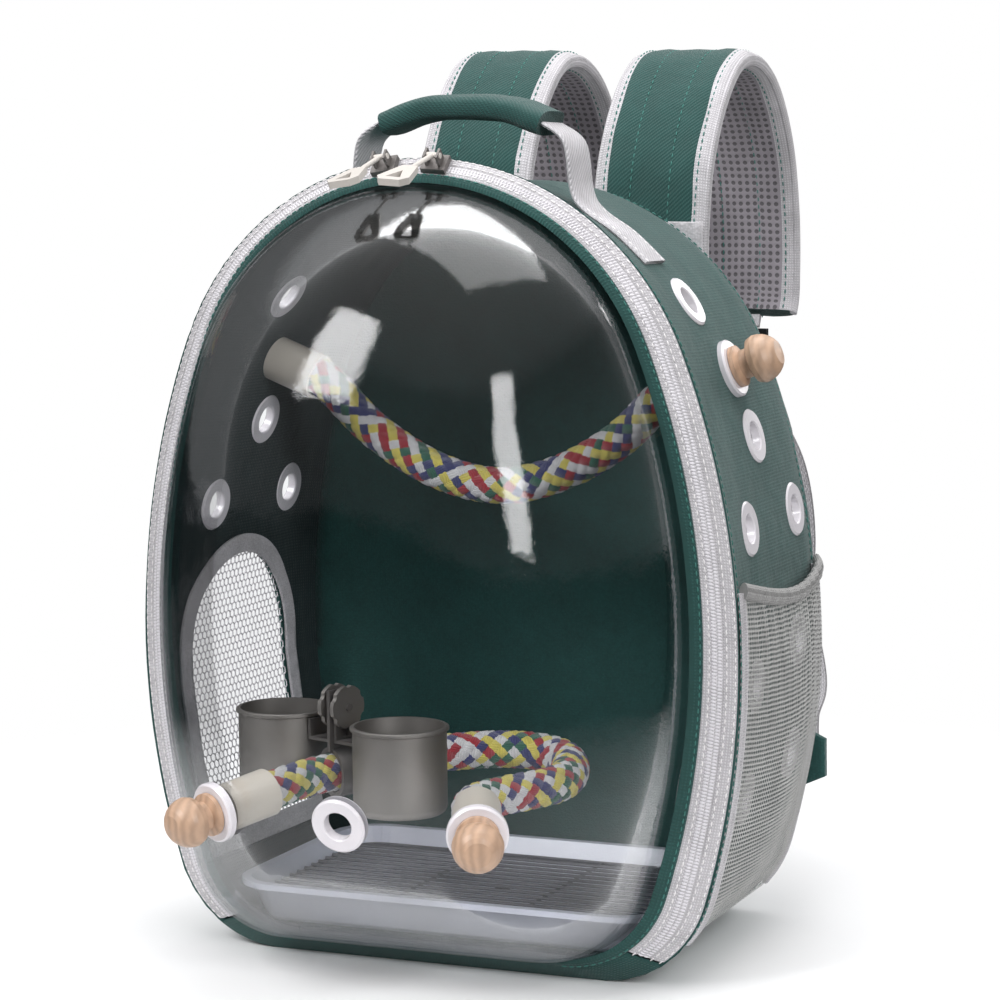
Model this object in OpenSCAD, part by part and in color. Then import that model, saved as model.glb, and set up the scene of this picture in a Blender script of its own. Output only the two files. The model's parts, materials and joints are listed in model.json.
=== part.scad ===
// Bird travel carrier: a soft arched backpack body with a clear domed door that is
// zipped round the top and hinged along the bottom. Millimetres, +Z up, front towards -Y,
// origin at the centre of the flat base.

/* [Body] */
// Width of the bag at the front seam
body_w = 330; // [320:2:350]
// Height of the bag at the front seam
body_h = 410; // [396:2:430]
// Depth from the front seam to the back face
body_d = 164; // [156:2:180]
// Radius of the arched top
top_r = 146; // [138:1:152]
// Radius of the long side curves
side_r = 420; // [390:5:600]
// Radius of the bottom corners
corner_r = 60; // [54:1:66]
// How far the sides draw in towards the back
taper = 16; // [10:1:20]
// Thickness of the padded fabric wall
wall_t = 3; // [2.5:0.5:4]
// Thickness of the back panel
back_t = 4; // [3:0.5:6]
// Thickness of the padded base insert
base_pad_t = 8; // [5:1:10]

/* [Door] */
// Depth of the clear dome in front of its frame
dome_d = 106; // [80:2:115]
// Wall of the clear dome
dome_t = 1.5; // [1.2:0.1:2.5]
// Fullness of the dome's sides
side_full = 1.3; // [1.2:0.1:1.8]
// Fullness of the dome's bottom
bottom_full = 2; // [1.6:0.1:2.4]
// Fullness of the dome's top
crown_full = 1.6; // [1.4:0.1:2]
// Height of the middle of the dome
dome_mid_z = 190; // [175:5:210]
// Length of the straight skirt behind the dome
dome_skirt = 7; // [4:1:8]
// Thickness of the zip tapes and of the fabric door frame
tape_t = 2; // [1.5:0.1:2.5]

/* [Vents] */
// Clear hole of a vent eyelet
vent_bore = 14.5; // [12:0.5:16]
// Outer diameter of a vent eyelet
vent_flange = 28; // [25:1:30]
// Height of the mesh window in the left side
window_h = 148; // [130:2:150]
// Width of the mesh window
window_w = 104; // [90:2:110]
// Height of the pocket on the right side
pocket_h = 178; // [150:2:190]
// How far the pocket stands out
pocket_bulge = 16; // [12:1:24]

/* [Perches] */
// Diameter of the rope perches
rope_d = 20; // [17:0.5:20.5]
// Outer diameter of the rope ferrules
ferrule_d = 24; // [24:0.5:28]
// Length of a rope ferrule
ferrule_l = 28; // [24:1:32]
// Diameter of the screws through the walls
stud_d = 6; // [5:0.5:7]
// Diameter of a wooden knob
knob_d = 25; // [22:0.5:28]
// Height of the upper perch at the walls
perch_z = 300; // [284:1:304]
// Sag of the upper perch
perch_sag = 64; // [44:2:70]
// Distance of a lower perch end from the middle
lower_x = 69; // [66:1:72]
// Height of the lower perch ends and of the front vent
lower_z = 95; // [92:1:98]

/* [Cups] */
// Outer diameter of a food cup
cup_d = 47; // [40:1:48]
// Height of a food cup
cup_h = 44; // [36:1:46]
// Sheet thickness of a food cup
cup_t = 1; // [0.6:0.1:1.4]

/* [Tray] */
// Width of the tray over its rim
tray_w = 240; // [220:2:242]
// Depth of the tray over its rim
tray_d = 154; // [144:2:156]
// Height of the tray
tray_h = 22; // [18:1:26]
// Number of long wires in the floor grid
wires = 13; // [9:1:16]
// Diameter of the grid wire
wire_d = 2; // [1.6:0.2:2.4]

/* [Straps] */
// Width of a padded shoulder strap
strap_w = 65; // [55:1:70]
// Thickness of a padded shoulder strap
strap_t = 12; // [8:1:14]
// Distance of each shoulder strap from the middle
strap_x = 52; // [48:1:56]
// Width of the adjuster webbing
webbing_w = 24; // [20:1:25]
// Thickness of the webbing
webbing_t = 1.6; // [1.2:0.2:2]
// Width of the carry handle webbing
handle_w = 30; // [26:1:34]
// Height of the carry handle above the top
handle_rise = 36; // [30:1:42]

/* [Hidden] */

$fn = 48;
seat_gap = 0.3;      // running gap between loose pieces
run_fit = 0.06;      // radial clearance of a knob on its screw
front_y = -body_d / 2;
back_y = body_d / 2;

// --- Curves -------------------------------------------------------------------------

corner_n = 6;
side_n = 6;
crown_n = 9;
half_n = corner_n + side_n + crown_n;
ring_n = 2 * half_n + 1;

function arc(c, r, a0, a1, n) =
    [for (k = [0:n]) let (a = a0 + (a1 - a0) * k / n) [c.x + r * cos(a), c.y + r * sin(a)]];

// Centres and tangent angles of an arch: half width w, from z0 to z1, three radii.
function side_z(w, z1, rt, rs) = z1 - rt - sqrt(pow(rs - rt, 2) - pow(rs - w, 2));
function corner_x(w, z0, zs, rs, rc) = w - rs + sqrt(pow(rs - rc, 2) - pow(zs - z0 - rc, 2));

function arch_half(w, z0, z1, rt, rs, rc) =
    let (zs = side_z(w, z1, rt, rs),
         xc = corner_x(w, z0, zs, rs, rc),
         a1 = atan2(z0 + rc - zs, xc - w + rs),
         a2 = atan2(z1 - rt - zs, rs - w),
         corner = arc([xc, z0 + rc], rc, -90, a1, corner_n),
         side = arc([w - rs, zs], rs, a1, a2, side_n),
         crown = arc([0, z1 - rt], rt, a2, 90, crown_n))
    concat(corner, [for (k = [1:side_n]) side[k]], [for (k = [1:crown_n]) crown[k]]);

// The whole arch, from the bottom right over the top to the bottom left.
function arch(w, z0, z1, rt, rs, rc) =
    let (h = arch_half(w, z0, z1, rt, rs, rc))
    concat(h, [for (k = [half_n - 1:-1:0]) [-h[k].x, h[k].y]]);

// A ring of the soft body: drawn in by inset at the sides, and by off all round.
crown_draw = 1.5;
function body_ring(inset, off = 0) =
    arch(body_w / 2 - inset - off, off, body_h - crown_draw * inset - off,
         top_r - inset - off, side_r - inset - off, corner_r - off);

// A ring of the door frame, which draws in less at the top and bottom.
door_top = 0.5;
door_bottom = 0.5;
door_corner = 0.3;
function door_ring(inset, off = 0) =
    arch(body_w / 2 - inset - off, door_bottom * inset + off,
         body_h - door_top * inset - off, top_r - inset - off,
         side_r - inset - off, corner_r - door_corner * inset - off);

function lift(ring, y) = [for (p = ring) [p.x, y, p.y]];

// How far the wall is drawn in at each depth, from the front seam to the back edge.
draw_in = [[front_y, 0], [front_y + 15, 0.3 * taper], [front_y + 44, 0.5 * taper],
           [0, 0.6 * taper], [back_y - 24, 0.72 * taper], [back_y - 10, 0.85 * taper],
           [back_y - back_t, taper]];
function inset_at(y) = lookup(y, draw_in);

// Half width of the body wall at a depth and height, off inwards from its outer face.
function wall_x(y, z, off = 0) =
    let (i = inset_at(y) + off,
         w = body_w / 2 - i,
         rt = top_r - i,
         rs = side_r - i,
         rc = corner_r - off,
         z1 = body_h - crown_draw * inset_at(y) - off,
         zs = side_z(w, z1, rt, rs),
         xc = corner_x(w, off, zs, rs, rc),
         a1 = atan2(off + rc - zs, xc - w + rs),
         a2 = atan2(z1 - rt - zs, rs - w))
    z < zs + rs * sin(a1) ? xc + sqrt(max(0, rc * rc - pow(off + rc - z, 2))) :
    z < zs + rs * sin(a2) ? w - rs + sqrt(rs * rs - pow(z - zs, 2)) :
    sqrt(max(0, rt * rt - pow(z - z1 + rt, 2)));

// Height of the outer face of the top at x and depth y.
function top_z(x, y) =
    let (i = inset_at(y), rt = top_r - i)
    body_h - crown_draw * i - rt + sqrt(rt * rt - x * x);

// --- Skins --------------------------------------------------------------------------

// A wall between outer and inner rails, from station first to station last.
module wall(outer, inner, first, last, closed = false) {
    k = len(outer);
    m = 2 * k;
    count = last - first + 1;
    total = len(outer[0]);
    points = [for (i = [first:last])
        each concat([for (rail = outer) rail[i % total]],
                    [for (j = [k - 1:-1:0]) inner[j][i % total]])];
    skin = [for (i = [0:(closed ? count - 1 : count - 2)], j = [0:m - 1])
        let (a = i * m, b = ((i + 1) % count) * m, j2 = (j + 1) % m)
        each [[a + j, b + j2, a + j2], [a + j, b + j, b + j2]]];
    ends = closed ? [] : [for (j = [0:k - 2], e = [0, count - 1])
        let (o = e * m, q = [o + j, o + j + 1, o + m - 2 - j, o + m - 1 - j])
        each e == 0 ? [[q[0], q[1], q[2]], [q[0], q[2], q[3]]]
                    : [[q[0], q[2], q[1]], [q[0], q[3], q[2]]]];
    polyhedron(points, concat(skin, ends));
}

// A thin vessel: outer and inner rings from the open rim to the closed end.
module vessel(outer, inner, outer_tip, inner_tip) {
    n = len(outer[0]);
    a = len(outer);
    b = len(inner);
    tip_out = (a + b) * n;
    points = concat([for (r = outer) each r], [for (r = inner) each r],
                    [outer_tip, inner_tip]);
    outside = [for (k = [0:a - 2], i = [0:n - 1])
        let (i2 = (i + 1) % n, p = k * n, q = p + n)
        each [[p + i, p + i2, q + i2], [p + i, q + i2, q + i]]];
    inside = [for (k = [a:a + b - 2], i = [0:n - 1])
        let (i2 = (i + 1) % n, p = k * n, q = p + n)
        each [[p + i, q + i2, p + i2], [p + i, q + i, q + i2]]];
    tips = [for (i = [0:n - 1])
        let (i2 = (i + 1) % n, p = (a - 1) * n, q = (a + b - 1) * n)
        each [[p + i, p + i2, tip_out], [q + i, tip_out + 1, q + i2]]];
    rim = [for (i = [0:n - 1])
        let (i2 = (i + 1) % n, q = a * n)
        each [[i, q + i2, i2], [i, q + i, q + i2]]];
    polyhedron(points, concat(outside, inside, tips, rim));
}

function unit(v) = v / norm(v);
function tangent(path, i) =
    unit(path[min(i + 1, len(path) - 1)] - path[max(i - 1, 0)]);

// A section swept along a path. The section's first axis stays near the guide direction.
module sweep(path, section, guide) {
    n = len(section);
    points = [for (i = [0:len(path) - 1])
        let (t = tangent(path, i), s = unit(guide - (guide * t) * t), u = cross(t, s))
        for (p = section) path[i] + p.x * s + p.y * u];
    last = (len(path) - 1) * n;
    skin = [for (i = [0:len(path) - 2], j = [0:n - 1])
        let (a = i * n, b = a + n, j2 = (j + 1) % n)
        each [[a + j, a + j2, b + j2], [a + j, b + j2, b + j]]];
    ends = [for (j = [1:n - 2]) each [[0, j + 1, j], [last, last + j, last + j + 1]]];
    polyhedron(points, concat(skin, ends));
}

function round_section(r, n) = [for (k = [0:n - 1]) r * [cos(360 * k / n), sin(360 * k / n)]];
function flat_section(w, t) = [[-w / 2, -t / 2], [w / 2, -t / 2], [w / 2, t / 2], [-w / 2, t / 2]];
function pad_section(w, t, c) =
    [[-w / 2 + c, -t / 2], [w / 2 - c, -t / 2], [w / 2, -t / 4], [w / 2, t / 4],
     [w / 2 - c, t / 2], [0, t / 2], [-w / 2 + c, t / 2], [-w / 2, t / 4], [-w / 2, -t / 4]];

// A smooth curve through the hand-chosen points of a route.
function blend(a, b, c, d, t) =
    0.5 * (2 * b + (c - a) * t + (2 * a - 5 * b + 4 * c - d) * t * t
           + (3 * b - a - 3 * c + d) * t * t * t);
function smooth(route, steps) =
    let (n = len(route))
    concat([for (i = [0:n - 2], k = [0:steps - 1])
        blend(route[max(i - 1, 0)], route[i], route[i + 1], route[min(i + 2, n - 1)], k / steps)],
        [route[n - 1]]);

// A rectangle with round corners, as points.
function round_rect(w, d, r, n = 6) =
    [for (q = [0:3], k = [0:n])
        let (a = q * 90 + 90 * k / n, sx = (q == 0 || q == 3) ? 1 : -1, sy = q < 2 ? 1 : -1)
        [sx * (w / 2 - r) + r * cos(a), sy * (d / 2 - r) + r * sin(a)]];

// Places children with +Z along the vector v.
module aim(at, v) {
    translate(at) rotate([0, acos(v.z / norm(v)), atan2(v.y, v.x)]) children();
}

module both() {
    children();
    mirror([1, 0, 0]) children();
}

// --- Wall fittings ------------------------------------------------------------------

// Children stand on the middle of the right wall with +Z outwards.
module on_wall(y, z) {
    mid = wall_t / 2;
    reach = 6;
    x = wall_x(y, z, mid);
    dy = (wall_x(y + reach, z, mid) - wall_x(y - reach, z, mid)) / (2 * reach);
    dz = (wall_x(y, z + reach, mid) - wall_x(y, z - reach, mid)) / (2 * reach);
    aim([x, y, z], [1, -dy, -dz]) children();
}

wall_seat = wall_t / 2 - 0.5;     // flat seats are let into both faces of the wall
barrel_t = 1.8;                   // wall of an eyelet's barrel
flange_t = 1.6;                   // thickness of an eyelet's flange
vent_rows = [[front_y + 50, 224], [front_y + 128, 224], [front_y + 88, 266], [front_y + 66, 335]];
pocket_vents = [[front_y + 46, 88], [front_y + 46, 146], [front_y + 118, 98], [front_y + 118, 158]];
perch_y = 0;
washer_d = 30;                    // washer under each wooden knob
washer_t = 4;

module eyelet(grip) {
    rotate_extrude() {
        polygon([[vent_bore / 2, -grip - flange_t + 0.6], [vent_bore / 2 + 0.6, -grip - flange_t],
            [vent_flange / 2 - 1, -grip - flange_t], [vent_flange / 2, -grip - 0.6],
            [vent_flange / 2, -grip], [vent_bore / 2 + barrel_t, -grip],
            [vent_bore / 2 + barrel_t, grip], [vent_flange / 2, grip],
            [vent_flange / 2, grip + 0.6], [vent_flange / 2 - 1, grip + flange_t],
            [vent_bore / 2 + 0.6, grip + flange_t], [vent_bore / 2, grip + flange_t - 0.6]]);
    }
}

// The hole and the two flat seats that a round fitting needs in the wall.
module wall_cut(hole_r, seat_r) {
    cylinder(r = hole_r, h = 40, center = true);
    for (s = [0, 1]) mirror([0, 0, s]) translate([0, 0, wall_seat]) cylinder(r = seat_r, h = 14);
}

module side_cuts(rows) {
    for (p = rows) {
        on_wall(p[0], p[1]) wall_cut(vent_bore / 2 + barrel_t + seat_gap, vent_flange / 2 + seat_gap);
    }
    on_wall(perch_y, perch_z) wall_cut(stud_d / 2 + seat_gap, washer_d / 2 + seat_gap);
}

// --- Soft body ----------------------------------------------------------------------

side_last = corner_n + side_n + 3;
outer_rails = [for (p = draw_in) lift(body_ring(p[1]), p[0])];
inner_rails = [for (p = draw_in) lift(body_ring(p[1], wall_t), p[0])];

window_y = -4;
window_z = 48;
module window_shape(grow) {
    r = window_w / 2 + grow;
    translate([window_y, window_z + window_h - window_w / 2]) circle(r = r);
    translate([window_y - r, window_z - grow])
        square([2 * r, window_h - window_w / 2 + grow]);
}

// A prism through the side wall, in the outline of the window.
module window_prism(grow) {
    translate([body_w / 2 - 40, 0, 0]) rotate([90, 0, 90]) linear_extrude(80) window_shape(grow);
}

// A skin that follows the side wall between two offsets.
module side_skin(from, to) {
    wall([for (p = draw_in) lift(body_ring(p[1], from), p[0])],
         [for (p = draw_in) lift(body_ring(p[1], to), p[0])], 1, side_last - 1);
}

mesh_t = 0.8;
binding_t = 1.4;
binding_w = 8;
skin_gap = 0.1;
module side_panel_left() {
    mirror([1, 0, 0]) color([0.10, 0.30, 0.28])
    difference() {
        wall(outer_rails, inner_rails, 0, side_last);
        side_cuts(vent_rows);
        window_prism(0);
    }
}
module side_panel_right() {
    color([0.10, 0.30, 0.28])
    difference() {
        wall(outer_rails, inner_rails, 0, side_last);
        side_cuts(concat(vent_rows, pocket_vents));
    }
}

module window_mesh() {
    color([0.85, 0.85, 0.85])
    mirror([1, 0, 0])
    intersection() {
        side_skin(wall_t + skin_gap, wall_t + skin_gap + mesh_t);
        window_prism(binding_w - 1);
    }
}
module window_binding() {
    near = wall_t + 2 * skin_gap + mesh_t;
    color([0.55, 0.54, 0.55])
    mirror([1, 0, 0])
    difference() {
        intersection() {
            side_skin(near, near + binding_t);
            window_prism(binding_w);
        }
        window_prism(-2);
    }
}

module top_panel() {
    color([0.11, 0.33, 0.31])
    wall(outer_rails, inner_rails, side_last, ring_n - 1 - side_last);
}

module base_panel() {
    edge = [for (p = draw_in) [body_ring(p[1])[0].x, p[0]]];
    color([0.09, 0.26, 0.25])
    linear_extrude(wall_t)
    polygon(concat(edge, [for (k = [len(edge) - 1:-1:0]) [-edge[k].x, edge[k].y]]));
}

module base_pad() {
    margin = 4;
    rows = [for (p = draw_in)
        [body_ring(p[1])[0].x - 1, min(max(p[0], front_y + margin), back_y - back_t - 1)]];
    color([0.07, 0.20, 0.20])
    translate([0, 0, wall_t])
    linear_extrude(base_pad_t)
    polygon(concat(rows, [for (k = [len(rows) - 1:-1:0]) [-rows[k].x, rows[k].y]]));
}

// The panel outlines lie in XZ; this stands them up at depth y, thickness going back.
module stand(y, t) {
    translate([0, y + t, 0]) rotate([90, 0, 0]) linear_extrude(t) children();
}

module back_panel() {
    color([0.08, 0.24, 0.24])
    stand(back_y - back_t, back_t) polygon(body_ring(taper));
}

cushion_t = 8;
cushion_in = 46;                  // margin beside the cushion
cushion_z = 30;
cushion_h = body_h - 122;
channel_w = 8;
module back_cushion() {
    color([0.35, 0.35, 0.36])
    stand(back_y, cushion_t)
    difference() {
        intersection() {
            polygon(body_ring(taper + cushion_in));
            translate([-body_w / 2, cushion_z]) square([body_w, cushion_h]);
        }
        translate([-channel_w / 2, 2 * cushion_z]) square([channel_w, cushion_h - 2 * cushion_z]);
    }
}

// --- Zip and door frame ---------------------------------------------------------------

// Bands of the slanting frame, each from one inset to another.
slant = 0.55;
function slant_y(inset) = slant * (inset - tape_in[0]);
tape_in = [1, 8];
coil_body_in = [7, 9];
coil_door_in = [9.3, 11.3];
door_tape_in = [12, 16];
band_in = [16, 20];
tape_y = [0, slant_y(tape_in[1])];
coil_body_y = [tape_y[1], tape_y[1] + 1.1];
coil_door_y = [coil_body_y[1] + seat_gap, coil_body_y[1] + seat_gap + 1.1];
door_tape_y = [coil_door_y[1], slant_y(door_tape_in[1])];
band_y = [door_tape_y[1], slant_y(band_in[1]) + 1];
coil_t = 3;
zip_from = 3;
zip_to = ring_n - 1 - zip_from;

module frame_band(insets, depths, t, first, last, closed = false) {
    wall([for (k = [0, 1]) lift(door_ring(insets[k]), front_y - depths[k])],
         [for (k = [0, 1]) lift(door_ring(insets[k], t), front_y - depths[k])],
         first, last, closed);
}

module front_seam_tape() {
    color([0.84, 0.82, 0.77]) frame_band(tape_in, tape_y, tape_t, zip_from, zip_to);
}
module zip_coil_body() {
    color([0.80, 0.80, 0.82]) frame_band(coil_body_in, coil_body_y, coil_t, zip_from, zip_to);
}
module zip_coil_door() {
    color([0.80, 0.80, 0.82]) frame_band(coil_door_in, coil_door_y, coil_t, zip_from, zip_to);
}
module zip_tape_door() {
    color([0.84, 0.82, 0.77]) frame_band(door_tape_in, door_tape_y, tape_t, zip_from, zip_to);
}
module door_band() {
    color([0.10, 0.28, 0.27]) frame_band(band_in, band_y, tape_t, 0, ring_n - 1, true);
}

// The strip that is sewn across the bottom stops just short of the two ends of the zip.
strip_end = 0.12;
function shortened(rail) =
    [for (i = [0:ring_n - 1])
        i == zip_from ? (1 - strip_end) * rail[i] + strip_end * rail[i - 1] :
        i == zip_to ? (1 - strip_end) * rail[i] + strip_end * rail[i + 1] : rail[i]];
module hinge_strip() {
    from = -front_y + seat_gap;
    color([0.09, 0.26, 0.25])
    wall([shortened(lift(door_ring(0), -from)), shortened(lift(door_ring(band_in[0]), front_y - band_y[0]))],
         [shortened(lift(door_ring(0, tape_t), -from)),
          shortened(lift(door_ring(band_in[0], tape_t), front_y - band_y[0]))],
         zip_to, ring_n + zip_from);
}

// --- Dome -------------------------------------------------------------------------------

dome_y0 = front_y - band_y[1];
dome_off = tape_t + seat_gap;
dome_edge = door_ring(band_in[1], dome_off);
dome_edge_in = door_ring(band_in[1], dome_off + dome_t);
dome_steps = [0, 0.1, 0.24, 0.4, 0.56, 0.7, 0.81, 0.9, 0.96, 0.99];
dome_round = 3;

// How wide the dome still is at share t of its depth.
function full(t, bulge) = pow(1 - pow(t, bulge), 1 / dome_round);
function dome_ring(edge, t) =
    let (sx = full(t, side_full), sb = full(t, bottom_full), st = full(t, crown_full))
    [for (p = edge) [p.x * sx,
        dome_mid_z + (p.y - dome_mid_z) * (p.y < dome_mid_z ? sb : st)]];
dome_rings = [for (t = dome_steps) dome_ring(dome_edge, t)];

// The share of the depth at which the dome's face passes through a point of the outline.
function between(t) =
    let (k = max([for (i = [0:len(dome_steps) - 2]) t >= dome_steps[i] ? i : 0]),
         f = (t - dome_steps[k]) / (dome_steps[k + 1] - dome_steps[k]))
    (1 - f) * dome_rings[k] + f * dome_rings[k + 1];
function holds(ring, p) =
    max([for (i = [0:ring_n - 1]) let (e = ring[(i + 1) % ring_n] - ring[i])
        (p - ring[i]) * [e.y, -e.x]]) < 0;
function find_share(p, low, high, left) =
    let (t = (low + high) / 2)
    left == 0 ? t : holds(between(t), p) ? find_share(p, t, high, left - 1)
                                         : find_share(p, low, t, left - 1);
function dome_y(x, z) =
    dome_y0 - dome_d * find_share([x, z], 0, dome_steps[len(dome_steps) - 1] - 0.0001, 14);

module dome() {
    color([0.85, 0.92, 0.95, 0.35])
    difference() {
        vessel(concat([lift(dome_edge, dome_y0 + dome_skirt)],
                      [for (t = dome_steps) lift(dome_ring(dome_edge, t), dome_y0 - dome_d * t)]),
               concat([lift(dome_edge_in, dome_y0 + dome_skirt)],
                      [for (t = dome_steps) lift(dome_ring(dome_edge_in, t), dome_y0 - (dome_d - dome_t) * t)]),
               [0, dome_y0 - dome_d, dome_mid_z], [0, dome_y0 - dome_d + dome_t, dome_mid_z]);
        on_dome(0, lower_z) cylinder(r = vent_bore / 2 + barrel_t + seat_gap, h = 30, center = true);
        both() on_dome(lower_x, lower_z) cylinder(r = stud_d / 2 + seat_gap, h = 30, center = true);
    }
}

// Children stand in the middle of the dome's wall with +Z outwards.
module on_dome(x, z) {
    reach = 9;
    dx = (dome_y(x + reach, z) - dome_y(x - reach, z)) / (2 * reach);
    dz = (dome_y(x, z + reach) - dome_y(x, z - reach)) / (2 * reach);
    aim([x, dome_y(x, z) + dome_t / 2, z], [dx, -1, dz]) children();
}
dome_seat = dome_t / 2 + 0.9;     // flat fittings keep clear of the curved wall

module front_vent() { color([0.93, 0.91, 0.93]) on_dome(0, lower_z) eyelet(dome_seat); }

module side_vents_right() {
    color([0.93, 0.91, 0.93]) for (p = concat(vent_rows, pocket_vents)) on_wall(p[0], p[1]) eyelet(wall_seat);
}
module side_vents_left() {
    color([0.93, 0.91, 0.93]) mirror([1, 0, 0]) for (p = vent_rows) on_wall(p[0], p[1]) eyelet(wall_seat);
}

// --- Perches ----------------------------------------------------------------------------

socket_depth = 20;
stud_in = 6;
stud_out = 16;
knob_seat = washer_t + seat_gap;

// Each fitting is drawn along +Z outwards, with the wall's seats at plus and minus seat.
module ferrule(seat) {
    difference() {
        translate([0, 0, -seat - ferrule_l]) cylinder(d = ferrule_d, h = ferrule_l);
        translate([0, 0, -seat - ferrule_l - 1]) cylinder(d = rope_d + 2 * seat_gap, h = socket_depth + 1);
        translate([0, 0, -seat - stud_in]) cylinder(d = stud_d, h = stud_in + 1);
    }
}
module stud(seat) {
    translate([0, 0, -seat - stud_in]) cylinder(d = stud_d, h = stud_in + 2 * seat + washer_t + stud_out);
}
module washer(seat) {
    bevel = 1;
    difference() {
        translate([0, 0, seat]) rotate_extrude() polygon([[0, 0], [washer_d / 2, 0],
            [washer_d / 2, washer_t - bevel], [washer_d / 2 - bevel, washer_t], [0, washer_t]]);
        cylinder(d = stud_d + 2 * seat_gap, h = 60, center = true);
    }
}
module knob(seat) {
    r = knob_d / 2;
    neck = 0.6 * r;
    color([0.88, 0.71, 0.55])
    difference() {
        translate([0, 0, seat + knob_seat]) rotate_extrude() polygon(concat(
            [[0, 0], [0.86 * r, 0], [0.86 * r, 2.4], [neck, 4], [neck, 8], [0.92 * r, 10]],
            arc([0, 13], r, 0, 60, 5), [[0, 13 + r * sin(60) + 1]]));
        translate([0, 0, seat]) cylinder(r = stud_d / 2 + run_fit, h = knob_seat + stud_out + seat_gap);
    }
}

module upper_ferrules() { color([0.85, 0.82, 0.77]) both() on_wall(perch_y, perch_z) ferrule(wall_seat); }
module upper_studs() { color([0.75, 0.75, 0.78]) both() on_wall(perch_y, perch_z) stud(wall_seat); }
module upper_washers() { color([0.93, 0.91, 0.93]) both() on_wall(perch_y, perch_z) washer(wall_seat); }
module upper_knob_right() { on_wall(perch_y, perch_z) knob(wall_seat); }
module upper_knob_left() { mirror([1, 0, 0]) upper_knob_right(); }
module lower_ferrules() { color([0.85, 0.82, 0.77]) both() on_dome(lower_x, lower_z) ferrule(dome_seat); }
module lower_studs() { color([0.75, 0.75, 0.78]) both() on_dome(lower_x, lower_z) stud(dome_seat); }
module lower_washers() { color([0.93, 0.91, 0.93]) both() on_dome(lower_x, lower_z) washer(dome_seat); }
module lower_knob_right() { on_dome(lower_x, lower_z) knob(dome_seat); }
module lower_knob_left() { mirror([1, 0, 0]) lower_knob_right(); }

// Where the rope leaves a socket on the right: its start, and the way it runs.
perch_dy = (wall_x(perch_y + 6, perch_z, wall_t / 2) - wall_x(perch_y - 6, perch_z, wall_t / 2)) / 12;
perch_dz = (wall_x(perch_y, perch_z + 6, wall_t / 2) - wall_x(perch_y, perch_z - 6, wall_t / 2)) / 12;
perch_in = -unit([1, -perch_dy, -perch_dz]);
perch_root = [wall_x(perch_y, perch_z, wall_t / 2), perch_y, perch_z];
rope_root = ferrule_l - socket_depth;

function flip(p) = [-p.x, p.y, p.z];
upper_start = perch_root + (wall_seat + rope_root) * perch_in;
upper_mouth = upper_start + socket_depth * perch_in;
upper_clear = upper_start + (socket_depth + 9) * perch_in;
upper_low = [0, perch_y, perch_z - perch_sag];
upper_half = [[36, perch_y, perch_z - 0.88 * perch_sag], [70, perch_y, perch_z - 0.58 * perch_sag]];
upper_route = concat([flip(upper_start), flip(upper_mouth), flip(upper_clear)],
    [flip(upper_half[1]), flip(upper_half[0]), upper_low], upper_half,
    [upper_clear, upper_mouth, upper_start]);

module upper_rope() {
    color([0.80, 0.30, 0.30]) sweep(smooth(upper_route, 3), round_section(rope_d / 2, 10), [0, 1, 0]);
}

lower_dx = (dome_y(lower_x + 9, lower_z) - dome_y(lower_x - 9, lower_z)) / 18;
lower_dz = (dome_y(lower_x, lower_z + 9) - dome_y(lower_x, lower_z - 9)) / 18;
lower_in = -unit([lower_dx, -1, lower_dz]);
lower_root = [lower_x, dome_y(lower_x, lower_z) + dome_t / 2, lower_z];
lower_start = lower_root + (dome_seat + rope_root) * lower_in;
lower_mouth = lower_start + socket_depth * lower_in;
lower_clear = lower_start + (socket_depth + 9) * lower_in;
clamp_at = [-38, front_y - 28, 103];
clamp_run = [30, 44, 3];
loop_points = [[-8, 10, 106], [22, 36, 106], [48, 42, 104], [66, 22, 102], [72, -14, 101]];
lower_route = concat([flip(lower_start), flip(lower_mouth), flip(lower_clear)],
    [for (k = [-1:1]) clamp_at + 0.3 * k * clamp_run],
    [for (p = loop_points) [p.x, front_y + p.y, p.z]], [lower_clear, lower_mouth, lower_start]);

module lower_rope() {
    color([0.80, 0.30, 0.30]) sweep(smooth(lower_route, 3), round_section(rope_d / 2, 10), [0, 0, 1]);
}

// --- Cups --------------------------------------------------------------------------------

cup_turn = -19;                   // the line between the cups, seen from above
cup_reach = 41;                   // from the clamp to the middle of each cup
plate_t = 2;
plate_w = 18;
collar_t = 2.4;
collar_w = 12;
rod_d = 4;
rod_up = 33;                      // rod above the middle of the rope
hook_t = 1.6;
hook_w = 13;
hook_x = plate_t / 2 + seat_gap;
nut_at = hook_x + hook_t + seat_gap;
nut_d = 22;
nut_t = 2.4;

// Children stand at the clamp with +X along the line between the cups.
module at_clamp() {
    translate(clamp_at) rotate([0, 0, cup_turn]) children();
}

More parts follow.
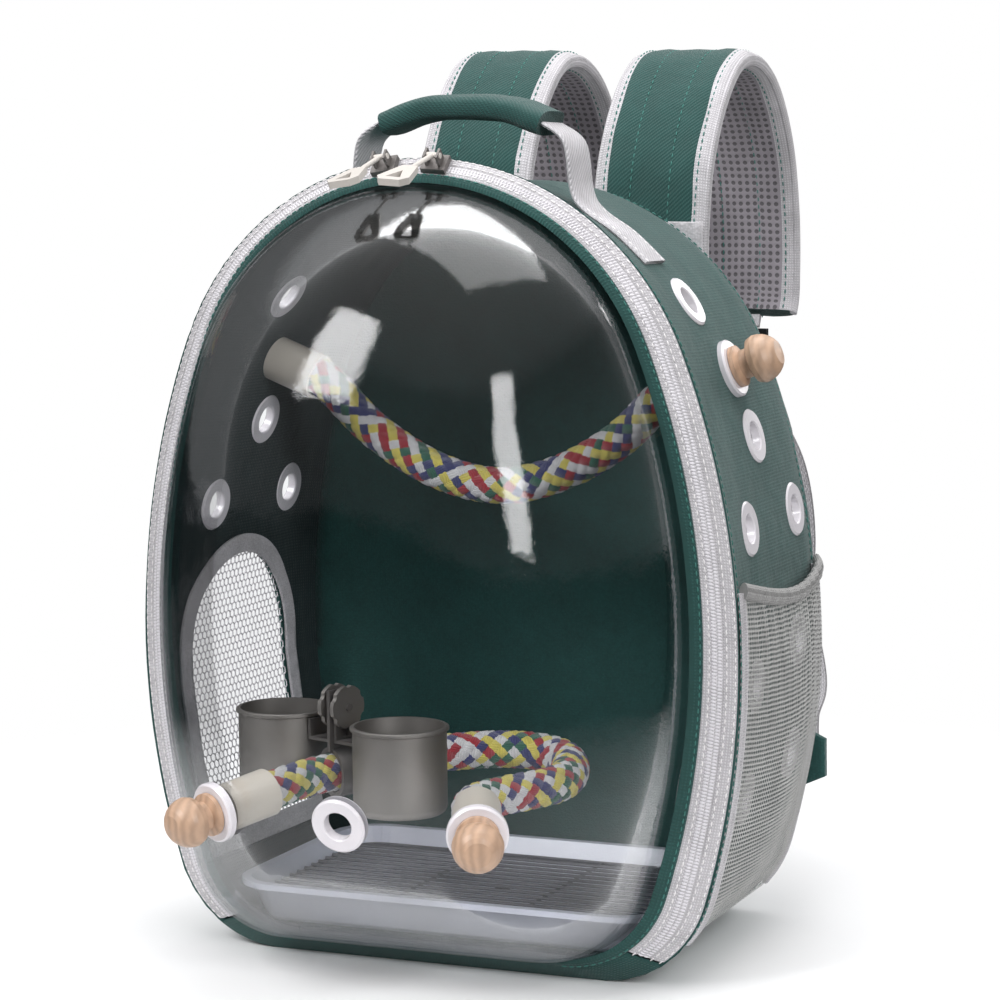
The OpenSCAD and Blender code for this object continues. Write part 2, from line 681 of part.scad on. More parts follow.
collar_d = rope_d + 2 * collar_t + 2 * seat_gap;
module cup_clamp() {
    color([0.72, 0.72, 0.74])
    difference() {
        union() {
            aim(clamp_at, clamp_run) cylinder(d = collar_d, h = collar_w, center = true);
            at_clamp() translate([-plate_t / 2, -plate_w / 2, collar_d / 2 - 2])
                cube([plate_t, plate_w, rod_up - collar_d / 2 + 2 + plate_w / 2]);
        }
        aim(clamp_at, clamp_run) cylinder(d = rope_d + 2 * seat_gap, h = collar_w + 20, center = true);
        at_clamp() translate([0, 0, rod_up]) rotate([0, 90, 0]) cylinder(d = rod_d, h = 20, center = true);
    }
}
module cup_rod() {
    color([0.75, 0.75, 0.78])
    at_clamp() translate([0, 0, rod_up]) rotate([0, 90, 0])
        cylinder(d = rod_d, h = 2 * (nut_at + nut_t + 1), center = true);
}
module cup_nut(side) {
    color([0.68, 0.68, 0.70])
    at_clamp() translate([side * (nut_at + nut_t / 2), 0, rod_up]) rotate([0, 90, 0])
    difference() {
        cylinder(d = nut_d, h = nut_t, center = true);
        cylinder(r = rod_d / 2 + run_fit, h = nut_t + 2, center = true);
        for (a = [0:60:300]) rotate([0, 0, a]) translate([nut_d / 2 + 2, 0, 0]) cylinder(r = 3, h = nut_t + 2, center = true);
    }
}
module cup_nut_left() { cup_nut(-1); }
module cup_nut_right() { cup_nut(1); }

rim_z = rod_up - 5;
rim_under = rim_z - 2.4;          // underside of a cup's rolled rim
module cup(side) {
    r = cup_d / 2;
    color([0.72, 0.70, 0.68])
    at_clamp() translate([side * cup_reach, 0, rim_z - cup_h])
    rotate_extrude() polygon(concat([[0, 0], [r - 4, 0]], arc([r - 4, 4], 4, -90, 0, 4),
        [[r, cup_h - 2.4], [r + 1.2, cup_h - 1.8], [r + 1.2, cup_h - 0.5], [r + 0.5, cup_h],
         [r - cup_t, cup_h], [r - cup_t, 4]], arc([r - 4, 4], 4 - cup_t, 0, -90, 4), [[0, cup_t]]));
}
module cup_left() { cup(-1); }
module cup_right() { cup(1); }

// A bent plate over the rod, whose upturned end carries the cup by its rolled rim.
module cup_hook(side) {
    lip_x = cup_reach - cup_d / 2 - seat_gap - hook_t;
    foot_z = rim_z - 13;
    slot = rod_d + 2 * seat_gap;
    color([0.72, 0.72, 0.74])
    at_clamp() mirror([side < 0 ? 1 : 0, 0, 0])
    difference() {
        union() {
            translate([hook_x, -hook_w / 2, foot_z]) cube([hook_t, hook_w, rod_up + 6 - foot_z]);
            translate([hook_x, -hook_w / 2, foot_z]) cube([lip_x + hook_t - hook_x, hook_w, hook_t]);
            translate([lip_x, -hook_w / 2, foot_z]) cube([hook_t, hook_w, rim_under - seat_gap - foot_z]);
        }
        translate([hook_x - 1, -slot / 2, foot_z + 3]) cube([hook_t + 2, slot, rod_up - foot_z - 3]);
        translate([hook_x - 1, 0, rod_up]) rotate([0, 90, 0]) cylinder(d = slot, h = hook_t + 2);
    }
}
module cup_hook_left() { cup_hook(-1); }
module cup_hook_right() { cup_hook(1); }

// --- Zip sliders -------------------------------------------------------------------------

slider_in = 9;
slider_y = front_y - slant_y(slider_in);
crown_mid = [0, slider_y, body_h - door_top * slider_in - top_r + slider_in];
crown_r = top_r - slider_in;
slider_w = 10;
slider_t = 3.2;
slider_l = 13;
slider_gap = 0.9;
rest_left = -8;
rest_right = 3.5;
pull_w = 17;
pull_t = 3.4;
cord_d = 2.6;
pull_drop = 13;                   // slope of a resting pull, in degrees
eye_up = 8;

// Children stand over the coil at an angle from the top, +Z outwards and -Y forwards.
module on_crown(angle) {
    translate(crown_mid) rotate([0, angle, 0]) translate([0, 0, crown_r]) children();
}

module slider(angle) {
    color([0.75, 0.75, 0.77])
    on_crown(angle) rotate([45, 0, 0]) translate([0, 0, slider_gap])
    difference() {
        union() {
            translate([-slider_l / 2, -slider_w / 2, 0]) cube([slider_l, slider_w, slider_t]);
            for (s = [-1, 1]) translate([s * 3.4 - 0.6, -3, 0]) cube([1.2, 6, eye_up + 2]);
        }
        translate([0, 0, eye_up]) rotate([0, 90, 0]) cylinder(r = 1.5 + run_fit, h = 20, center = true);
    }
}
module slider_left() { slider(rest_left); }
module slider_right() { slider(rest_right); }

// The pull turns on a small pin through the slider's eye and lies on the dome.
module pull(angle) {
    cord_l = 26;
    tab_l = 24;
    on_crown(angle) rotate([45, 0, 0]) translate([0, 0, slider_gap + eye_up])
    rotate([-45 + pull_drop, 0, 0]) {
        color([0.80, 0.78, 0.76]) {
            rotate([0, 90, 0]) cylinder(r = 1.5, h = 9, center = true);
            rotate([90, 0, 0]) cylinder(d = cord_d, h = cord_l);
            difference() {
                translate([0, -cord_l, -pull_t / 2]) linear_extrude(pull_t)
                    polygon([[-4, 1], [4, 1], [pull_w / 2, -tab_l + 5], [pull_w / 2 - 3, -tab_l],
                             [-pull_w / 2 + 3, -tab_l], [-pull_w / 2, -tab_l + 5]]);
                translate([0, -cord_l, -pull_t]) linear_extrude(3 * pull_t)
                    polygon([[0, -8], [pull_w / 2 - 4.5, -tab_l + 4.5], [-pull_w / 2 + 4.5, -tab_l + 4.5]]);
            }
        }
    }
}
module pull_left() { pull(rest_left); }
module pull_right() { pull(rest_right); }

// --- Pocket ------------------------------------------------------------------------------

pocket_z = 20;
pocket_front = front_y + 12;
pocket_back = back_y - 14;
pocket_t = 1.2;
pocket_u = 8;
pocket_v = 12;
function pocket_top(u) = pocket_z + pocket_h - 9 * sin(180 * u) - 5 * u;
function pocket_point(u, v, t) =
    let (y = pocket_front + (pocket_back - pocket_front) * u,
         z = pocket_z + (pocket_top(u) - pocket_z) * v)
    [wall_x(y, z) + 1.2 + t + pocket_bulge * pow(sin(180 * u), 0.7) * pow(sin(20 + 110 * v) - sin(20), 0.8), y, z];
function pocket_rail(v, t) = [for (k = [0:pocket_u]) pocket_point(k / pocket_u, v, t)];

module side_pocket() {
    color([0.72, 0.72, 0.70])
    wall([for (k = [0:pocket_v]) pocket_rail(k / pocket_v, pocket_t)],
         [for (k = [0:pocket_v]) pocket_rail(k / pocket_v, 0)], 0, pocket_u);
}
module pocket_binding() {
    r = 3;
    edge = [for (p = pocket_rail(1, pocket_t / 2)) p + [r / 2, 0, r + seat_gap]];
    color([0.80, 0.79, 0.77]) sweep(edge, round_section(r, 8), [1, 0, 0]);
}

// --- Handle ------------------------------------------------------------------------------

handle_y = front_y + 56;
handle_t = 2;
grip_t = 13;
grip_x = 44;
handle_top = top_z(0, handle_y) + handle_rise;
lay = handle_t / 2 + 0.8;         // the webbing's middle lies this far off the top
top_slope = (top_z(0, handle_y - handle_w / 2) - top_z(0, handle_y + handle_w / 2)) / handle_w;
function on_top(x) = [x, handle_y, top_z(x, handle_y) + lay];
grip_end = [grip_x, handle_y, handle_top - 8];
handle_half = [on_top(100), on_top(84), on_top(68), [61, handle_y, top_z(61, handle_y) + 8],
    [57, handle_y, handle_top - 18], grip_end + [0.6, 0, -0.4]];

module handle_webbing() {
    color([0.80, 0.79, 0.80])
    both() sweep(smooth(handle_half, 3), flat_section(handle_w, handle_t), [0, 1, -top_slope]);
}
module handle_grip() {
    route = [flip(grip_end), [-grip_x / 2, handle_y, handle_top - 1], [0, handle_y, handle_top],
             [grip_x / 2, handle_y, handle_top - 1], grip_end];
    color([0.11, 0.33, 0.31])
    sweep(smooth(route, 3), pad_section(handle_w + 4, grip_t, 4), [0, 1, 0]);
}

// --- Shoulder straps ---------------------------------------------------------------------

patch_t = 2;
strap_y = back_y + patch_t + strap_t / 2 + seat_gap;
strap_z = body_h - crown_draw * taper - 42;
strap_route = [for (p = [[0, 0], [1, 22], [9, 56], [30, 88], [58, 108], [88, 108], [116, 92],
    [138, 60], [148, 20], [148, -20], [143, -34]]) [strap_x, strap_y + p.x, strap_z + p.y]];
strap_end = strap_route[len(strap_route) - 1];
lock_w = webbing_w + 10;
lock_h = 24;
lock_t = 4;
lock_at = strap_end + [0, -4, -9 - lock_h / 2];

module strap_patch() {
    color([0.80, 0.79, 0.80])
    stand(back_y, patch_t) translate([-strap_x - strap_w / 2, strap_z - 4])
        square([2 * strap_x + strap_w, 30]);
}
module strap_right() {
    color([0.11, 0.33, 0.31])
    sweep(smooth(strap_route, 2), pad_section(strap_w, strap_t, 5), [1, 0, 0]);
}
module strap_left() { mirror([1, 0, 0]) strap_right(); }

module strap_end_tabs() {
    color([0.80, 0.79, 0.80])
    both() sweep([strap_end + [0, -1, -1.6], lock_at + [0, 0, lock_h / 2 + 3.5 * seat_gap]],
                 flat_section(webbing_w, 2 * webbing_t), [1, 0, 0]);
}
module ladder_locks() {
    bar = 4;
    color([0.05, 0.05, 0.05])
    both() translate(lock_at)
    difference() {
        cube([lock_w, lock_t, lock_h], center = true);
        for (z = [-1, 1]) translate([0, 0, z * (lock_h - bar) / 4 ])
            cube([lock_w - 2 * bar, lock_t + 2, lock_h / 2 - bar - bar / 4], center = true);
    }
}

tab_t = 4;
tab_z = 84;
tab_x = body_w / 2 - taper - 8;
web_start = lock_at + [0, -lock_t / 2 - webbing_t / 2 - seat_gap, -lock_h / 2 + 5];
web_end = [tab_x - 4, back_y + tab_t + webbing_t / 2 + seat_gap, tab_z + 2];
web_route = [web_start, web_start + [0, 0, -8], web_start + [3, -2, -26], [strap_x + 36, back_y + 108, 182],
    [strap_x + 72, back_y + 52, 122], web_end + [-4, 9, 18], web_end];
tail_start = lock_at + [0, lock_t / 2 + webbing_t / 2 + seat_gap, -lock_h / 2 + 5];
tail_route = [tail_start, tail_start + [0, 0, -8], tail_start + [9, 2, -28], tail_start + [26, 4, -62],
    tail_start + [32, 3, -104], tail_start + [28, 0, -146]];

module strap_webbing() {
    color([0.80, 0.79, 0.80])
    both() sweep(smooth(web_route, 4), flat_section(webbing_w, webbing_t), [1, 0, 0]);
}
module webbing_tails() {
    color([0.80, 0.79, 0.80])
    both() sweep(smooth(tail_route, 4), flat_section(webbing_w, webbing_t), [1, 0, 0]);
}
module corner_tabs() {
    color([0.11, 0.33, 0.31])
    both() stand(back_y, tab_t)
        polygon([[tab_x - 36, tab_z - 30], [tab_x + 12, tab_z - 8], [tab_x + 12, tab_z + 12],
                 [tab_x - 36, tab_z + 34]]);
}

// --- Tray ----------------------------------------------------------------------------------

tray_z = wall_t + base_pad_t + seat_gap;
tray_y = front_y - 3 + tray_d / 2;
tray_t = 2;
lip = 5;
lip_t = 3;
draft = 9;
ledge = 3;
ledge_z = tray_h - 10;
tray_r = 26;

// A ring of the tray, drawn in from its rim, at a height above its own base.
function tray_ring(in, z) =
    [for (p = round_rect(tray_w - 2 * in, tray_d - 2 * in, tray_r - in)) [p.x, tray_y + p.y, tray_z + z]];
function wall_in(z) = lip + draft * (tray_h - lip_t - z) / (tray_h - lip_t);

module tray() {
    color([0.72, 0.73, 0.80])
    vessel([tray_ring(0, tray_h), tray_ring(0, tray_h - lip_t), tray_ring(lip, tray_h - lip_t),
            tray_ring(wall_in(2), 2), tray_ring(wall_in(2) + 2, 0)],
           [tray_ring(lip, tray_h), tray_ring(wall_in(ledge_z) + tray_t, ledge_z),
            tray_ring(wall_in(ledge_z) + tray_t + ledge, ledge_z),
            tray_ring(wall_in(tray_t) + tray_t + ledge, tray_t + 1), tray_ring(wall_in(2) + tray_t + ledge + 3, tray_t)],
           [0, tray_y, tray_z], [0, tray_y, tray_z + tray_t]);
}

grid_in = wall_in(ledge_z) + tray_t + seat_gap + wire_d / 2 + 0.7;
grid_w = tray_w - 2 * grid_in;
grid_d = tray_d - 2 * grid_in;
grid_r = tray_r - grid_in;
grid_z = tray_z + ledge_z + seat_gap + wire_d / 2;
weld_up = 0.75 * wire_d;          // the long wires lie welded on top of the frame
// A ring of the grid's frame at an angle round the wire.
function frame_rail(a) =
    let (out = wire_d / 2 * cos(a))
    [for (p = round_rect(grid_w + 2 * out, grid_d + 2 * out, grid_r + out))
        [p.x, p.y, wire_d / 2 * sin(a)]];

module floor_grid() {
    step = (grid_d - 2 * grid_r) / (wires - 1);
    color([0.70, 0.70, 0.72])
    translate([0, tray_y, grid_z]) {
        wall([for (a = [67.5:-45:-67.5]) frame_rail(a)], [for (a = [112.5:45:247.5]) frame_rail(a)],
             0, 4 * 7, closed = true);
        for (k = [0:wires - 1]) translate([-grid_w / 2, grid_r - grid_d / 2 + k * step, weld_up])
            rotate([0, 90, 0]) cylinder(d = wire_d, h = grid_w, $fn = 8);
        for (x = [-1, 1]) translate([x * grid_w / 6, -grid_d / 2, 0]) rotate([-90, 0, 0])
            cylinder(d = 0.8 * wire_d, h = grid_d, $fn = 8);
    }
}

base_panel();
side_panel_left();
side_panel_right();
top_panel();
back_panel();
back_cushion();
base_pad();
front_seam_tape();
zip_coil_body();
side_vents_left();
side_vents_right();
window_mesh();
window_binding();
side_pocket();
pocket_binding();
handle_webbing();
handle_grip();
strap_patch();
strap_left();
strap_right();
strap_end_tabs();
ladder_locks();
strap_webbing();
webbing_tails();
corner_tabs();
upper_rope();
upper_ferrules();
upper_studs();
upper_washers();
upper_knob_left();
upper_knob_right();
zip_coil_door();
zip_tape_door();
door_band();
hinge_strip();
dome();
front_vent();
lower_rope();
lower_ferrules();
lower_studs();
lower_washers();
lower_knob_left();
lower_knob_right();
cup_clamp();
cup_rod();
cup_nut_left();
cup_nut_right();
cup_left();
cup_hook_left();
cup_right();
cup_hook_right();
slider_left();
slider_right();
pull_left();
pull_right();
tray();
floor_grid();
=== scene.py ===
"""Visual model of the bird travel carrier, in the frame of its CAD part. Metres, +Z up."""

from math import atan2, cos, degrees, exp, pi, radians, sin, sqrt

import bmesh
import bpy
from mathutils import Matrix, Vector, noise
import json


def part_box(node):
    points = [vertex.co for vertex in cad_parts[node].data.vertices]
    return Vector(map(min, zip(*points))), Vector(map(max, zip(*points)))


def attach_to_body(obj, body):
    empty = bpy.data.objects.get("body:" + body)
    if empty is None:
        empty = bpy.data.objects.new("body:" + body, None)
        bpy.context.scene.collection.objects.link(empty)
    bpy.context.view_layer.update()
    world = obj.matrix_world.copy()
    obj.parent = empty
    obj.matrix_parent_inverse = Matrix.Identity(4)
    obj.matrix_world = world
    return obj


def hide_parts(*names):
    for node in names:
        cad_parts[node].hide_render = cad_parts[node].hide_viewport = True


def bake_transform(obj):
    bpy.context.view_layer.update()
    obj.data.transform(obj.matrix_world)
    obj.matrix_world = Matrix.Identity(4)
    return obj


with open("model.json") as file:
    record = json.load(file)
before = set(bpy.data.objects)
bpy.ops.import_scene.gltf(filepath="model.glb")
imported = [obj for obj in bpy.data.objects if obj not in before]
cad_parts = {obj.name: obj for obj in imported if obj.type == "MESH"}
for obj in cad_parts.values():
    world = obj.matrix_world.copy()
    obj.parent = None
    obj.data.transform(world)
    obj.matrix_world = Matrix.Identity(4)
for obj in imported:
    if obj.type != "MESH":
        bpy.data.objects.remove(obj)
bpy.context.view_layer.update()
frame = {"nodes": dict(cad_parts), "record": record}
NODES = frame["nodes"]
BODY_OF = {n: b for b, ns in frame["record"]["behaviour"]["bodies"].items() for n in ns}
SCENE = bpy.context.scene
MM = 0.001
noise.seed_set(7)    # unseeded, the soft pieces' noise would start from the clock

# --- Sizes of the part, in millimetres
BODY_W, BODY_H = 330, 410
FRONT_Y, BACK_Y = -82, 82
TOP_R, SIDE_R, CORNER_R = 146, 420, 60
TAPER, WALL_T, BACK_T = 16, 3, 4
TAPE_T = 2
DOME_D, DOME_T, DOME_SKIRT, DOME_MID_Z = 106, 1.5, 7, 190
SIDE_FULL, BOTTOM_FULL, CROWN_FULL, DOME_ROUND = 1.3, 2, 1.6, 3
SLANT = 0.55
TAPE_IN, COIL_BODY_IN, COIL_DOOR_IN, DOOR_TAPE_IN, BAND_IN = (1, 8), (7, 9), (9.3, 11.3), (12, 16), (16, 20)
TAPE_Y, COIL_BODY_Y, COIL_DOOR_Y, DOOR_TAPE_Y, BAND_Y = (
    (0, 3.85), (3.85, 4.95), (5.25, 6.35), (6.35, 8.25), (8.25, 11.45))
DOME_Y0 = FRONT_Y - BAND_Y[1]
VENTS = [(-32, 224), (46, 224), (6, 266), (-16, 335)]
POCKET_VENTS = [(-36, 88), (-36, 146), (36, 98), (36, 158)]
LOWER_ROOT = Vector((69, -182.461, 95))
LOWER_IN = Vector((-0.412104, 0.897867, 0.154938))
FRONT_VENT, FRONT_VENT_WAY = Vector((0, -189.845, 95)), Vector((0, -0.967, -0.254))
WALL_VENT_R, FRONT_VENT_R, STUD_HOLE_R = 8.8, 9.2, 3.3
ROPE_R, ROPE_CORE_R, STRAND_AT_R, STRANDS, BRAID_LEAD = 10, 7.0, 8.15, 8, 60.0
WINDOW_Y, WINDOW_Z, WINDOW_W, WINDOW_H = -4, 48, 104, 148
WINDOW_TOP_Z = WINDOW_Z + WINDOW_H - WINDOW_W / 2    # where its round top begins
NET_CELL, NET_WIRE_R = 4.2, 0.42
POCKET_Z, POCKET_H, POCKET_T, POCKET_BULGE = 20, 178, 1.2, 16
HANDLE_Y, HANDLE_TOP, HANDLE_W, HANDLE_T, GRIP_X, GRIP_T = -26, 433.242, 30, 2, 44, 13
STRAP_X, STRAP_W, STRAP_T, STRAP_Y, STRAP_Z = 52, 65, 12, 90.3, 344
WEBBING_W, WEBBING_T = 24, 1.6
LOCK_AT = Vector((52, 229.3, 289))
LOCK_H, LOCK_T = 24, 4
FINE = 4                     # how much finer than the part the outline is divided
HALF = 21 * FINE
RING = 2 * HALF + 1
ZIP_FROM = 3 * FINE
ZIP_TO = RING - 1 - ZIP_FROM
SIDE_LAST = 15 * FINE


# --- The part's curves
def arc(cx, cz, r, a0, a1, n):
    steps = [radians(a0 + (a1 - a0) * k / n) for k in range(n + 1)]
    return [(cx + r * cos(a), cz + r * sin(a)) for a in steps]


def arch_values(w, z0, z1, rt, rs, rc):
    zs = z1 - rt - sqrt((rs - rt) ** 2 - (rs - w) ** 2)
    xc = w - rs + sqrt((rs - rc) ** 2 - (zs - z0 - rc) ** 2)
    low = degrees(atan2(z0 + rc - zs, xc - w + rs))
    high = degrees(atan2(z1 - rt - zs, rs - w))
    return zs, xc, low, high


def arch(w, z0, z1, rt, rs, rc):
    """The outline from the bottom right over the top to the bottom left, as (x, z)."""
    zs, xc, low, high = arch_values(w, z0, z1, rt, rs, rc)
    half = arc(xc, z0 + rc, rc, -90, low, 6 * FINE)
    half += arc(w - rs, zs, rs, low, high, 6 * FINE)[1:]
    half += arc(0, z1 - rt, rt, high, 90, 9 * FINE)[1:]
    return half + [(-x, z) for x, z in half[-2::-1]]


def body_sizes(inset, off):
    """The values of the bag's outline, drawn in by an inset and moved off its face."""
    return (BODY_W / 2 - inset - off, off, BODY_H - 1.5 * inset - off,
            TOP_R - inset - off, SIDE_R - inset - off, CORNER_R - off)


def body_ring(inset, off=0.0):
    return arch(*body_sizes(inset, off))


def door_ring(inset, off=0.0):
    return arch(BODY_W / 2 - inset - off, 0.5 * inset + off, BODY_H - 0.5 * inset - off,
                TOP_R - inset - off, SIDE_R - inset - off, CORNER_R - 0.3 * inset - off)


DRAW_IN = [(FRONT_Y, 0), (FRONT_Y + 15, 0.3), (FRONT_Y + 44, 0.5), (0, 0.6),
           (BACK_Y - 24, 0.72), (BACK_Y - 10, 0.85), (BACK_Y - BACK_T, 1)]


def inset_at(y):
    for (y0, f0), (y1, f1) in zip(DRAW_IN, DRAW_IN[1:]):
        if y <= y1:
            return TAPER * (f0 + (f1 - f0) * max(0.0, (y - y0) / (y1 - y0)))
    return TAPER


def wall_x(y, z, off=0.0):
    """Half width of the bag's wall at a depth and height."""
    sizes = w, z0, z1, rt, rs, rc = body_sizes(inset_at(y), off)
    zs, xc, low, high = arch_values(*sizes)
    if z < zs + rs * sin(radians(low)):
        return xc + sqrt(max(0, rc * rc - (z0 + rc - z) ** 2))
    if z < zs + rs * sin(radians(high)):
        return w - rs + sqrt(rs * rs - (z - zs) ** 2)
    return sqrt(max(0, rt * rt - (z - z1 + rt) ** 2))


def wall_spot(y, z, side=1, off=WALL_T / 2):
    """A place on the side wall and the way out of it."""
    x = wall_x(y, z, off)
    dy = (wall_x(y + 6, z, off) - wall_x(y - 6, z, off)) / 12
    dz = (wall_x(y, z + 6, off) - wall_x(y, z - 6, off)) / 12
    return Vector((side * x, y, z)), Vector((side, -dy, -dz)).normalized()


def top_z(x, y):
    i = inset_at(y)
    rt = TOP_R - i
    return BODY_H - 1.5 * i - rt + sqrt(rt * rt - x * x)


def smooth(route, steps):
    """A smooth curve through a route's points."""
    pts = [Vector(p) for p in route]
    out = []
    for i in range(len(pts) - 1):
        a, b, c = pts[max(i - 1, 0)], pts[i], pts[i + 1]
        d = pts[min(i + 2, len(pts) - 1)]
        for k in range(steps):
            t = k / steps
            out.append(0.5 * (2 * b + (c - a) * t + (2 * a - 5 * b + 4 * c - d) * t * t
                              + (3 * b - a - 3 * c + d) * t ** 3))
    return out + [pts[-1]]


def flipped(p):
    return Vector((-p.x, p.y, p.z))


def mirrored(path):
    return [flipped(p) for p in path]


def evenly(path, step):
    """Points a fixed distance apart along a path, as (point, way along)."""
    out, left = [], 0.0
    for a, b in zip(path, path[1:]):
        d = (b - a).length
        while left <= d and d > 0:
            out.append((a.lerp(b, left / d), (b - a) / d))
            left += step
        left -= d
    return out


# --- Materials
def linear(rgb):
    return [((c / 255 + 0.055) / 1.055) ** 2.4 if c > 10 else c / 3294 for c in rgb] + [1.0]


def shade(rgb, k):
    return linear([max(0, min(255, c * k)) for c in rgb])


def settle(node, **values):
    """Sets a node's inputs by name, with _ for a space."""
    for key, value in values.items():
        node.inputs[key.replace("_", " ")].default_value = value
    return node


def new_material(name):
    mat = bpy.data.materials.new(name)
    mat.use_nodes = True
    return mat


class Nodes:
    """A node tree whose nodes are made and joined in single calls."""

    def __init__(self, tree):
        self.tree = tree

    def node(self, kind, **values):
        return settle(self.tree.nodes.new(kind), **values)

    def fed(self, value, socket, kind, **values):
        """A node one of whose inputs is fed by another node."""
        made = self.node(kind, **values)
        self.link(value, made.inputs[socket])
        return made

    def link(self, a, b):
        self.tree.links.new(a, b)

    def mix(self, fac, a, b, blend="MIX"):
        """A colour between two others, each a list or a socket."""
        made = self.node("ShaderNodeMix")
        made.data_type, made.blend_type = "RGBA", blend
        self.link(fac, made.inputs[0])
        for socket, value in ((made.inputs[6], a), (made.inputs[7], b)):
            if isinstance(value, list):
                socket.default_value = value
            else:
                self.link(value, socket)
        return made.outputs[2]

    def surface(self, output, fac, first, second):
        """Gives the output a mix of two shaders."""
        both = self.node("ShaderNodeMixShader")
        for socket, value in zip(both.inputs, (fac, first.outputs[0], second.outputs[0])):
            self.link(value, socket)
        self.link(both.outputs[0], self.tree.nodes[output].inputs["Surface"])


class Look(Nodes):
    """A node material with a coloured, uneven, bumpy surface."""

    def __init__(self, name, rgb, rough, spread=0.14, grain=60, uv=False, **constants):
        self.mat = new_material(name)
        super().__init__(self.mat.node_tree)
        self.shader = settle(self.tree.nodes["Principled BSDF"], Roughness=rough, **constants)
        coord = self.node("ShaderNodeTexCoord")
        self.where = coord.outputs["UV" if uv else "Object"]
        cloud = self.fed(coord.outputs["Object"], "Vector", "ShaderNodeTexNoise", Scale=grain, Detail=5,
                         Roughness=0.6)
        self.cloud = cloud.outputs["Fac"]
        self.color = self.mix(self.cloud, shade(rgb, 1 - spread), shade(rgb, 1 + spread))
        self.height = None

    def math(self, kind, a, b=None):
        made = self.node("ShaderNodeMath")
        made.operation = kind
        for socket, value in zip(made.inputs, (a, b)):
            if isinstance(value, (int, float)):
                socket.default_value = value
            elif value is not None:
                self.link(value, socket)
        return made.outputs[0]

    def textured(self, kind, **values):
        """A texture node laid where the look says."""
        return self.fed(self.where, "Vector", kind, **values)

    def bands(self, axis, pitch, turn=0.0):
        """Stripes a pitch apart, from 0 to 1."""
        turned = self.textured("ShaderNodeMapping", Rotation=(0, 0, radians(turn)))
        wave = self.fed(turned.outputs[0], "Vector", "ShaderNodeTexWave", Scale=2 * pi / (20 * pitch))
        wave.wave_type, wave.bands_direction, wave.wave_profile = "BANDS", axis, "SIN"
        return wave.outputs["Fac"]

    def cells(self, pitch, even=False):
        """Round cells a pitch apart: the distance from the middle of each, 0 to about 0.7."""
        spread = 0.0 if even else 0.6
        return self.textured("ShaderNodeTexVoronoi", Scale=1 / pitch, Randomness=spread).outputs["Distance"]

    def darken(self, fac, amount):
        """Darkens the colour where fac is high."""
        self.color = self.mix(fac, self.color, [1 - amount] * 3 + [1], "MULTIPLY")

    def bump(self, height, depth):
        made = self.fed(height, "Height", "ShaderNodeBump", Strength=0.9, Distance=depth)
        if self.height is not None:
            self.link(self.height, made.inputs["Normal"])
        self.height = made.outputs["Normal"]

    def done(self):
        self.link(self.color, self.shader.inputs["Base Color"])
        if self.height is not None:
            self.link(self.height, self.shader.inputs["Normal"])
        return self.mat


def woven(name, rgb, pitch=0.0016, depth=0.00035, twill=False, sheen=0.16, rough=0.86):
    """Cloth with crossing threads along its own length and width."""
    look = Look(name, rgb, rough, uv=True, Sheen_Weight=sheen, Sheen_Roughness=0.5)
    if twill:
        weave = look.bands("X", pitch, 42)
        weave = look.math("MULTIPLY", weave, look.math("ADD", look.bands("Y", pitch * 0.5), 0.35))
    else:
        weave = look.math("MULTIPLY", look.bands("X", pitch), look.bands("Y", pitch))
    look.darken(look.math("SUBTRACT", 1.0, weave), 0.3)
    look.bump(weave, depth)
    look.bump(look.cloud, 0.0012)
    return look.done()


def grainy(name, rgb, pitch=0.0014, depth=0.0003, sheen=0.16, rough=0.88):
    """Cloth on a piece with no length of its own: fine cells in place of threads."""
    look = Look(name, rgb, rough, Sheen_Weight=sheen, Sheen_Roughness=0.5)
    cell = look.cells(pitch)
    look.darken(cell, 0.35)
    look.bump(cell, depth)
    look.bump(look.cloud, 0.001)
    return look.done()


def netting(name, rgb, pitch, open_to):
    """A knitted net: clear in the middle of each cell."""
    look = Look(name, rgb, 0.8, uv=True, Sheen_Weight=0.2)
    cell = look.cells(pitch, even=True)
    look.bump(cell, 0.0004)
    clear = look.node("ShaderNodeBsdfTransparent")
    look.surface("Material Output", look.math("LESS_THAN", cell, open_to), look.shader, clear)
    return look.done()


def spacer(name, rgb, uv=False):
    """Padded mesh with a dimple in each cell, the dimple's middle darkened as painted shade."""
    look = Look(name, rgb, 0.9, uv=uv, Sheen_Weight=0.2)
    cell = look.cells(0.0042, even=True)
    # painted shade: the middle of each cell, where the bump below sinks it in, is darkened
    look.darken(look.math("LESS_THAN", cell, 0.3), 0.62)
    look.bump(look.math("MINIMUM", cell, 0.45), 0.0012)
    return look.done()


def moulded(name, rgb, rough=0.42, spread=0.05, **constants):
    """Moulded plastic, faintly mottled, with a fine grain."""
    look = Look(name, rgb, rough, spread=spread, grain=35, **constants)
    look.bump(look.textured("ShaderNodeTexNoise", Scale=900, Detail=2).outputs["Fac"], 0.00012)
    return look.done()


def metal(name, rgb, rough, brushed=0.0):
    """Steel whose polish varies, with fine scratches."""
    look = Look(name, rgb, rough, spread=0.06, grain=45, Metallic=1.0, Anisotropic=brushed)
    scratch = look.textured("ShaderNodeTexNoise", Scale=420, Detail=6, Roughness=0.7)
    look.bump(scratch.outputs["Fac"], 0.00008)
    look.link(look.math("MULTIPLY_ADD", look.cloud, rough), look.shader.inputs["Roughness"])
    return look.done()


def wood(name, rgb):
    """Turned pale wood with its grain."""
    look = Look(name, rgb, 0.5, spread=0.1, grain=30, Coat_Weight=0.25, Coat_Roughness=0.3)
    wave = look.textured("ShaderNodeTexWave", Scale=70, Distortion=5, Detail=3).outputs["Fac"]
    look.darken(wave, 0.22)
    look.bump(wave, 0.0002)
    return look.done()


